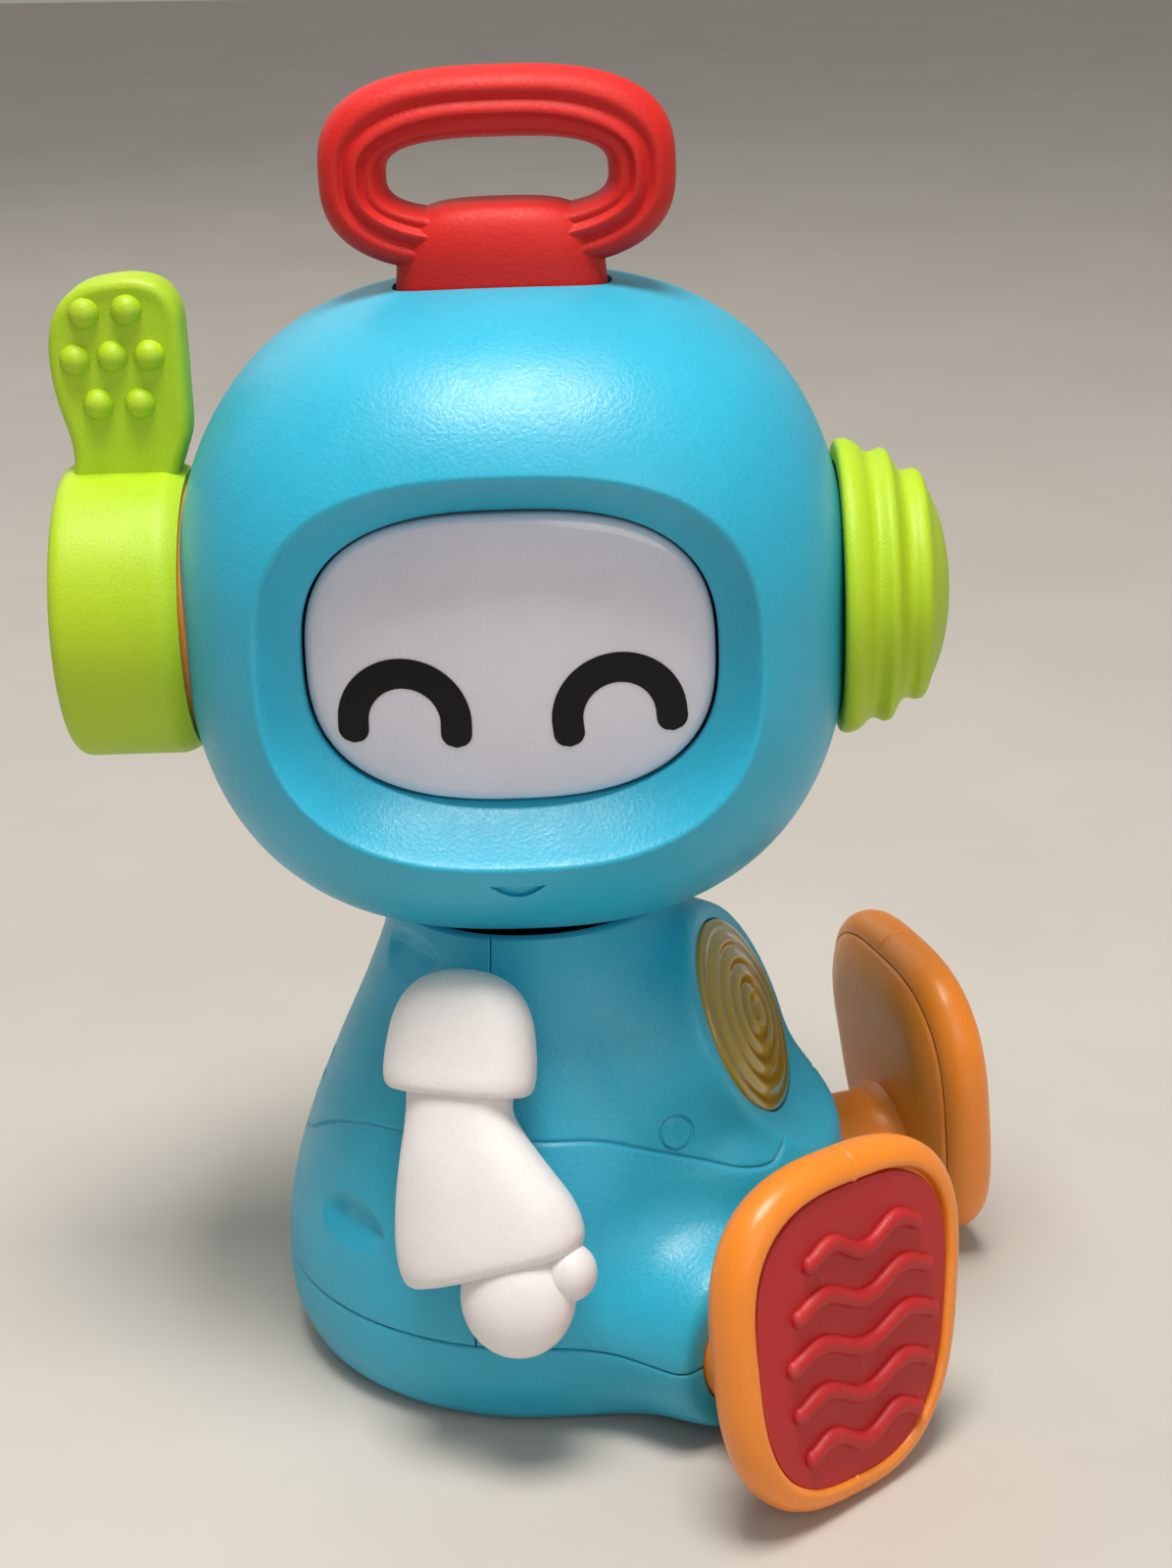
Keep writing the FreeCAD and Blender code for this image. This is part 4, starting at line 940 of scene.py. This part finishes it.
crank = {
    "radius": 26.4, "outerFace": -79.9, "innerFace": -57.4, "thick": 9.0,
    # the paddle's outline, across and up
    "outline": ((-77.2, 18.0), (-76.7, 28.0), (-77.0, 32.5), (-78.4, 38.0), (-79.3, 44.5), (-79.0, 50.5),
                (-77.0, 55.6),
                (-73.0, 58.9), (-67.5, 60.2), (-62.5, 60.2), (-58.6, 58.7), (-56.2, 55.2), (-55.7, 50.0),
                (-55.7, 40.0), (-55.9, 33.0), (-57.3, 28.5), (-58.8, 24.0), (-58.9, 18.0)),
    "bumps": ((-72.3, 54.6), (-64.9, 54.9), (-74.6, 46.5), (-68.0, 46.9), (-61.6, 46.9), (-71.2, 38.6),
              (-63.9, 38.5)),
    "bumpRadius": 2.75,
}


def smoothLoop(points, per):
    # closed curve through the outline's points
    points = [Vector((x, 0, z)) for x, z in points]
    count = len(points)
    made = []
    for i in range(count):
        before, a, b, after = (points[(i + k) % count] for k in (-1, 0, 1, 2))
        for step in range(per):
            t = step / per
            made.append(0.5 * (2 * a + (b - before) * t + (2 * before - 5 * a + 4 * b - after) * t ** 2
                               + (3 * a - before - 3 * b + after) * t ** 3))
    return made


def buildCrank():
    bm = bmesh.new()
    face, rim, radius = crank["outerFace"], crank["innerFace"], crank["radius"]
    profile = [(face, 0.0), (face, radius * 0.5)]
    profile += [(face + 2.6 * (1 - math.sin(a)), radius - 2.6 * (1 - math.cos(a)))
                for a in np.linspace(math.pi / 2, 0, 9)]
    profile += [(x, radius) for x in np.linspace(face + 4, rim - 4.6, 8)]
    profile += [(rim - 3.6 + 3.6 * t, radius - 1.5 * t ** 1.6) for t in np.linspace(0, 1, 7)]
    profile += [(rim, radius - 2.6), (face + 3.0, radius - 2.6), (face + 3.0, 8.0), (rim - 3.5, 8.0),
                (rim - 3.5, 0.0)]
    lathe(bm, profile, steps=144)
    hub = finishMesh(bm, "crankHub", headPlace)
    bm = bmesh.new()
    outline = smoothLoop(crank["outline"], 5)
    half = crank["thick"] / 2
    verts = [bm.verts.new(Vector((p.x, -half, p.z)) * mm) for p in outline]
    flag = bm.faces.new(verts)
    made = bmesh.ops.extrude_face_region(bm, geom=[flag])["geom"]
    bmesh.ops.translate(bm, verts=[v for v in made if isinstance(v, bmesh.types.BMVert)],
                        vec=(0, 2 * half * mm, 0))
    rims = [edge for edge in bm.edges if abs(edge.verts[0].co.y - edge.verts[1].co.y) < 1e-7]
    bmesh.ops.bevel(bm, geom=rims, offset=1.9 * mm, affect="EDGES", segments=5, profile=0.5, material=-1,
                    clamp_overlap=True)
    front = [f for f in bm.faces if len(f.verts) > 30 and f.calc_center_median().y < 0]
    bmesh.ops.inset_region(bm, faces=front, thickness=0.9 * mm, depth=-0.25 * mm, use_even_offset=True)
    front = [f for f in bm.faces if len(f.verts) > 30 and f.calc_center_median().y < 0]
    bmesh.ops.inset_region(bm, faces=front, thickness=1.2 * mm, depth=-0.12 * mm, use_even_offset=True)
    flagPiece = finishMesh(bm, "flag", headPlace)
    bm = bmesh.new()
    for x, z in crank["bumps"]:
        spot = Matrix.Translation(Vector((x, -half + 0.75, z)) * mm)
        bmesh.ops.create_uvsphere(bm, u_segments=28, v_segments=18, radius=crank["bumpRadius"] * mm,
                                  matrix=spot)
    dots = finishMesh(bm, "dots", headPlace)
    unite(hub, [flagPiece, dots])
    hub.name = "earCrank"
    harden(hub, 34)
    wear(hub, "lime_plastic", "crank", ["ear_crank"])


knob = {
    # distance from the head's middle against radius: flange, ripples and dome
    "profile": ((57.6, 25.4), (57.9, 26.1), (58.8, 26.5), (60.2, 26.3), (61.6, 25.5), (62.7, 24.4),
                (63.7, 23.9),
                (64.8, 24.2), (65.9, 24.6), (66.8, 24.3), (67.6, 23.0), (68.3, 21.7), (69.2, 20.7),
                (70.2, 20.5),
                (71.4, 20.8), (72.6, 20.5), (73.4, 19.3), (74.0, 17.6), (74.8, 15.8), (75.8, 13.4),
                (76.6, 10.6),
                (77.3, 7.0), (77.7, 3.4), (77.8, 0.0)),
}


def buildKnob():
    bm = bmesh.new()
    places = np.array(knob["profile"])
    run = np.concatenate([[0], np.cumsum(np.hypot(*np.diff(places, axis=0).T))])
    fine = bend(np.column_stack([run, places]), np.linspace(0, run[-1], 110))
    profile = [(59.9, 0.0), (59.9, 21.5), (57.6, 22.6)] + [(x, max(r, 0.0)) for x, r in fine]
    profile[-1] = (profile[-1][0], 0.0)
    lathe(bm, profile, steps=144)
    piece = finishMesh(bm, "rippleKnob", headPlace)
    harden(piece, 40)
    wear(piece, "lime_plastic", "knob", ["ripple_knob"])


def buildCollar():
    bm = bmesh.new()
    profile = [(-59.2, 20.6), (-59.2, 22.6), (-58.8, 23.1), (-58.0, 23.3), (-48.5, 23.3), (-48.5, 20.6),
               (-59.2, 20.6)]
    lathe(bm, profile, steps=128)
    piece = finishMesh(bm, "earCollar", headPlace)
    harden(piece)
    wear(piece, "orange_plastic", "head", ["ear_collar"])


arm = {
    "spot": Vector((-39.4, 2.0, 77.0)), "lean": 22.0,
    # down the flank, middle, half width, half thickness, slant
    "cap": ((-12.0, 0.0, 0.0, 0.0, 0.0), (-11.85, 0.0, 2.6, 1.6, 0.0), (-11.2, 0.0, 5.4, 3.5, 0.0),
            (-9.6, 0.0, 8.5, 5.3, 0.0), (-7.0, 0.0, 10.9, 6.8, 0.0), (-3.5, 0.0, 12.5, 7.7, 0.0),
            (0.5, 0.0, 13.3, 8.0, 0.0), (4.5, 0.0, 13.7, 8.0, 0.0), (7.6, 0.0, 13.6, 8.0, 0.0),
            (8.9, 0.0, 13.2, 7.8, 0.0), (9.6, 0.0, 12.4, 7.3, 0.0), (9.9, 0.0, 11.0, 6.4, 0.0),
            (10.0, 0.0, 0.0, 0.0, 0.0)),
    "fore": ((8.6, -0.3, 0.0, 0.0, 0.0), (8.8, -0.3, 9.4, 6.2, 0.0), (12.5, -0.4, 9.5, 6.6, 0.0),
             (16.0, -1.2, 10.4, 7.0, 0.05), (20.0, -2.4, 12.0, 7.5, 0.10), (25.0, -4.1, 14.0, 7.9, 0.16),
             (30.0, -5.9, 15.7, 8.0, 0.22), (34.5, -7.2, 16.4, 8.0, 0.27), (37.8, -8.1, 16.2, 7.9, 0.30),
             (39.6, -8.5, 15.4, 7.6, 0.31), (40.5, -8.7, 14.2, 6.9, 0.31), (40.9, -8.7, 12.4, 6.0, 0.31),
             (41.0, -8.7, 0.0, 0.0, 0.31)),
    "hand": (Vector((0, -13.2, -44.4)), (10.4, 11.0, 6.9)),
    "thumb": (Vector((0, -22.2, -39.4)), (4.9, 5.2, 4.7)),
}


def armPlace(side):
    lean = math.radians(arm["lean"])
    out = Vector((side * math.cos(lean), 0, math.sin(lean)))
    upFlank = Vector((-side * math.sin(lean), 0, math.cos(lean)))
    spot = Vector((-side * arm["spot"].x, arm["spot"].y, arm["spot"].z)) * mm
    turn = Matrix((out, Vector((0, 1, 0)), upFlank)).transposed().to_4x4()
    return Matrix.Translation(spot) @ turn


def armLoft(stations, side):
    # drawn with local X outwards, Y to the back and Z up the flank
    stations = np.array(stations)
    run = np.concatenate([[0], np.cumsum(np.maximum(np.hypot(np.diff(stations[:, 0]),
                                                             np.diff(stations[:, 2])), 0.2))])
    fine = bend(np.column_stack([run, stations]), np.linspace(0, run[-1], 74))

    def shape(u, v):
        turn = u * 2 * math.pi
        row = fine[np.rint(v * 73).astype(int)]
        across = superRadius(turn, 1.0, 1.0, 2.5)
        thick = np.cos(turn) * across * np.maximum(row[:, 3], 0)
        wide = np.sin(turn) * across * np.maximum(row[:, 2], 0)
        return thick, row[:, 1] + wide, -row[:, 0] - row[:, 4] * wide

    bm = bmesh.new()
    sheet(bm, 88, 73, shape)
    return finishMesh(bm, "armPart", armPlace(side))


def armBall(centre, half, side):
    def shape(u, v):
        turn, tilt = u * 2 * math.pi, (v - 0.5) * math.pi
        level = np.cos(tilt)
        return (centre.x + half[2] * np.cos(turn) * level, centre.y + half[0] * np.sin(turn) * level,
                centre.z + half[1] * np.sin(tilt))

    bm = bmesh.new()
    sheet(bm, 72, 44, shape)
    return finishMesh(bm, "armPart", armPlace(side))


def buildArm(word, side):
    whole = armLoft(arm["cap"], side)
    unite(whole, [armLoft(arm["fore"], side), armBall(*arm["hand"], side), armBall(*arm["thumb"], side)])
    whole.name = word + "Arm"
    harden(whole, 42)
    wear(whole, "white_plastic", "arm_" + word, [word + "_arm_outer", word + "_arm_inner"])


foot = {
    "half": (29.0, 32.2), "lift": 1.7, "taper": 0.10, "power": 2.75, "tilt": 6.2, "shift": 1.9,
    "sole": (24.0, 27.5), "soleLift": 1.3,
    "ribs": (17.6, 16.2, 13.4), "ribStep": 8.8, "ribRadius": 1.75, "ribWave": 1.7,
}


def footPoint(turn, grow, half, lift):
    reach = superRadius(turn, half[0] + grow, half[1] + grow, foot["power"])
    x, z = np.cos(turn) * reach, np.sin(turn) * reach
    return x * (1 + foot["taper"] * z / half[1]), z + lift


def footTurns(steps):
    # even steps, with close ones where the parting line crosses the rim
    even = np.linspace(0, 360, steps + 1)
    even = even[(np.abs(even - 90) > 1.4) & (np.abs(even - 270) > 1.4)]
    near = np.array((-0.95, -0.5, -0.2, 0.2, 0.5, 0.95))
    return np.sort(np.concatenate([even, 90 + near, 270 + near]))


def footSheet(rows, half, lift, side, steps=160, parting=0.0):
    rows = np.array(rows)
    turns = footTurns(steps)

    def shape(u, v):
        row = rows[np.rint(v * (len(rows) - 1)).astype(int)]
        degrees = turns[np.rint(u * (len(turns) - 1)).astype(int)]
        turn = np.radians(degrees)
        row = row.copy()
        line = np.maximum(0, 1 - np.minimum(np.abs(degrees - 90), np.abs(degrees - 270)) / 0.75)
        row[:, 0] -= parting * line
        x, z = footPoint(turn, 0 * row[:, 0], half, lift)
        scale = row[:, 2]
        inward = np.hypot(x, z - lift)
        share = np.where(scale > 0, (1 + row[:, 0] / np.maximum(inward, 1)) * scale, 0)
        return side * (foot["shift"] - x * share), row[:, 1], lift + (z - lift) * share

    bm = bmesh.new()
    sheet(bm, len(turns) - 1, len(rows) - 1, shape)
    return bm


def tiltFoot(bm):
    bmesh.ops.rotate(bm, verts=bm.verts, cent=(0, 0, 0), matrix=Matrix.Rotation(math.radians(-foot["tilt"]),
                                                                                3, "X"))


def buildFoot(word, side):
    place = legPlace(side)
    # orange rim, from the sole's recess over the round front and side to the seam on the back
    rows = [(-5.0, 2.2, 1), (-4.95, 1.2, 1), (-4.8, 0.55, 1), (-4.4, 0.12, 1), (-3.8, 0.0, 1)]
    rows += [(-4.2 + 4.2 * math.sin(a), 4.4 - 4.4 * math.cos(a), 1) for a in np.linspace(0.2, math.pi / 2,
                                                                                         12)]
    rows += [(-5.2 + 5.2 * math.cos(a), 4.9 + 5.0 * math.sin(a), 1) for a in np.linspace(0.08, 1.15, 10)]
    rows += [(-3.25, 9.55, 1), (-3.5, 9.5, 1), (-5.5, 8.4, 1), (-6.5, 4.0, 1), (-6.0, 2.2, 1), (-5.0, 2.2, 1)]
    bm = footSheet(rows, foot["half"], foot["lift"], side, 160, 0.35)
    tiltFoot(bm)
    rim = finishMesh(bm, word + "FootRim", place)
    harden(rim, 50)
    wear(rim, "orange_plastic", "leg_" + word, [word + "_foot_rim"])
    # back of the foot with its leg
    rows = [(-6.9, 8.0, 0), (-6.9, 8.0, 1), (-4.0, 9.3, 1), (-3.75, 9.6, 1), (-4.0, 10.0, 1)]
    rows += [(-4.0 - 9.0 * t, 10.0 + 2.7 * (1 - (1 - t) ** 2.2), 1) for t in np.linspace(0.08, 1.0, 10)]
    rows += [(-18.0, 12.9, 1), (-18.0, 12.95, 0)]
    bm = footSheet(rows, foot["half"], foot["lift"], side)
    tiltFoot(bm)
    shell = finishMesh(bm, word + "Leg", place)
    legLow = leg["axisHeight"] - leg["spot"].z
    bm = bmesh.new()
    profile = [(8.0, 0.0), (8.0, 14.5), (11.3, 14.5), (12.4, 13.2), (13.8, 12.2), (15.6, 11.6), (18.0, 11.5),
               (37.4, 11.5),
               (38.0, 10.9), (38.0, 5.0), (49.6, 5.0), (50.0, 4.6), (50.0, 0.0)]
    lathe(bm, profile, steps=96)
    bmesh.ops.rotate(bm, verts=bm.verts, cent=(0, 0, 0), matrix=Matrix.Rotation(math.pi / 2, 3, "Z"))
    bmesh.ops.translate(bm, verts=bm.verts, vec=(0, 0, legLow * mm))
    stub = finishMesh(bm, "stub", place)
    unite(shell, [stub])
    harden(shell, 40)
    wear(shell, "orange_plastic", "leg_" + word, [word + "_leg"])
    buildSole(word, side, place)


def buildSole(word, side, place):
    rows = [(0.0, 0.75, 0), (0.0, 0.75, 0.35), (0.0, 0.75, 0.7), (-1.2, 0.75, 1), (-0.35, 0.85, 1),
            (-0.1, 1.15, 1), (-0.08, 2.1, 1), (-2.0, 2.1, 1), (-2.0, 2.1, 0)]
    bm = footSheet(rows, foot["sole"], foot["soleLift"], side, 128)
    tiltFoot(bm)
    sole = finishMesh(bm, word + "Sole", place)
    bm = bmesh.new()
    for step in range(-2, 3):
        waveRib(bm, foot["ribs"][abs(step)], foot["ribStep"] * step, -side)
    tiltFoot(bm)
    ribs = finishMesh(bm, "ribs", place)
    unite(sole, [ribs])
    harden(sole, 40)
    wear(sole, "red_sole", "leg_" + word, [word + "_sole"])


def waveRib(bm, half, height, flip):
    radius = foot["ribRadius"]

    def shape(u, v):
        s = -half - radius + (2 * half + 2 * radius) * u
        over = np.maximum(-half - s, 0) + np.maximum(s - half, 0)
        size = np.sqrt(np.clip(radius ** 2 - over ** 2, 0, None))
        inside = np.clip(s, -half, half)
        wave = foot["ribWave"] * np.cos(2 * math.pi * (inside / half - 0.65) / 1.27)
        turn = v * 2 * math.pi
        return flip * s, 0.6 + size * np.cos(turn) * 0.85, height + wave + size * np.sin(turn)

    verts = sheet(bm, 64, 16, shape)
    bmesh.ops.remove_doubles(bm, verts=verts, dist=0.000002)


def dressFrame():
    for name, node in frame["nodes"].items():
        slot = next(part["material_slot"] for part in frame["record"]["subparts"] if part["node"] == name)
        node.data.materials.clear()
        node.data.materials.append(materials[slot])


def buildRoom():
    bm = bmesh.new()
    bmesh.ops.create_grid(bm, x_segments=1, y_segments=1, size=3.0)
    floor = finishMesh(bm, "floor")
    material = bpy.data.materials.new("paleTable")
    material.use_nodes = True
    tree = material.node_tree
    shader = tree.nodes["Principled BSDF"]
    where = tree.nodes.new("ShaderNodeTexCoord").outputs["Object"]
    shade = noiseNode(tree, where, 9.0, 4.0, 0.6)
    ramp = tree.nodes.new("ShaderNodeValToRGB")
    ramp.color_ramp.elements[0].color = (0.50, 0.47, 0.43, 1)
    ramp.color_ramp.elements[1].color = (0.60, 0.57, 0.53, 1)
    tree.links.new(shade, ramp.inputs["Fac"])
    tree.links.new(ramp.outputs["Color"], shader.inputs["Base Color"])
    shader.inputs["Roughness"].default_value = 0.55
    floor.data.materials.append(material)


def softBox(name, spot, aim, size, power, colour):
    light = bpy.data.lights.new(name, "AREA")
    light.shape = "RECTANGLE"
    light.size, light.size_y = size
    light.energy = power
    light.color = colour
    lamp = bpy.data.objects.new(name, light)
    lamp.location = spot
    lamp.rotation_euler = (Vector(aim) - Vector(spot)).to_track_quat("-Z", "Y").to_euler()
    bpy.context.scene.collection.objects.link(lamp)


def buildLights():
    aim = (0, 0, 0.12)
    softBox("ceilingPanel", (-0.22, -0.08, 1.25), aim, (0.42, 0.42), 15.0, (1.0, 0.96, 0.90))
    softBox("windowSide", (-0.95, -0.75, 0.70), aim, (0.8, 0.8), 3.2, (1.0, 0.98, 0.96))
    softBox("backWash", (0.7, 0.8, 0.9), aim, (1.2, 1.2), 3.0, (1.0, 0.98, 0.95))
    world = bpy.data.worlds.new("room")
    world.use_nodes = True
    world.node_tree.nodes["Background"].inputs["Color"].default_value = (0.86, 0.83, 0.78, 1)
    world.node_tree.nodes["Background"].inputs["Strength"].default_value = 0.36
    bpy.context.scene.world = world


view = {"spot": (-0.452604, -0.133979, 0.288842), "right": (0.24793755, -0.9681723, -0.03419593),
        "up": (0.35196603, 0.05713596, 0.9342673), "back": (-0.90257791, -0.24367576, 0.35492991),
        "lens": 62.454}


def buildCamera():
    data = bpy.data.cameras.new("camera")
    data.lens = view["lens"]
    data.sensor_width = 36.0
    data.clip_start, data.clip_end = 0.01, 20.0
    camera = bpy.data.objects.new("camera", data)
    turn = Matrix((view["right"], view["up"], view["back"])).transposed().to_4x4()
    camera.matrix_world = Matrix.Translation(view["spot"]) @ turn
    bpy.context.scene.collection.objects.link(camera)
    bpy.context.scene.camera = camera
    bpy.context.scene.view_settings.view_transform = "Standard"


buildRoom()
buildLights()
buildCamera()
print("room, lights and camera set")
dressFrame()
print("carried-over parts dressed")
buildTorso()
buildBase()
print("torso built")
buildButton()
print("button built")
buildHeadFront()
buildHeadBack()
buildFace()
print("head built")
buildHandle()
buildCrank()
buildKnob()
buildCollar()
print("handle and ears built")
for word, side in (("right", -1), ("left", 1)):
    buildArm(word, side)
    buildFoot(word, side)
print("arms and legs built")
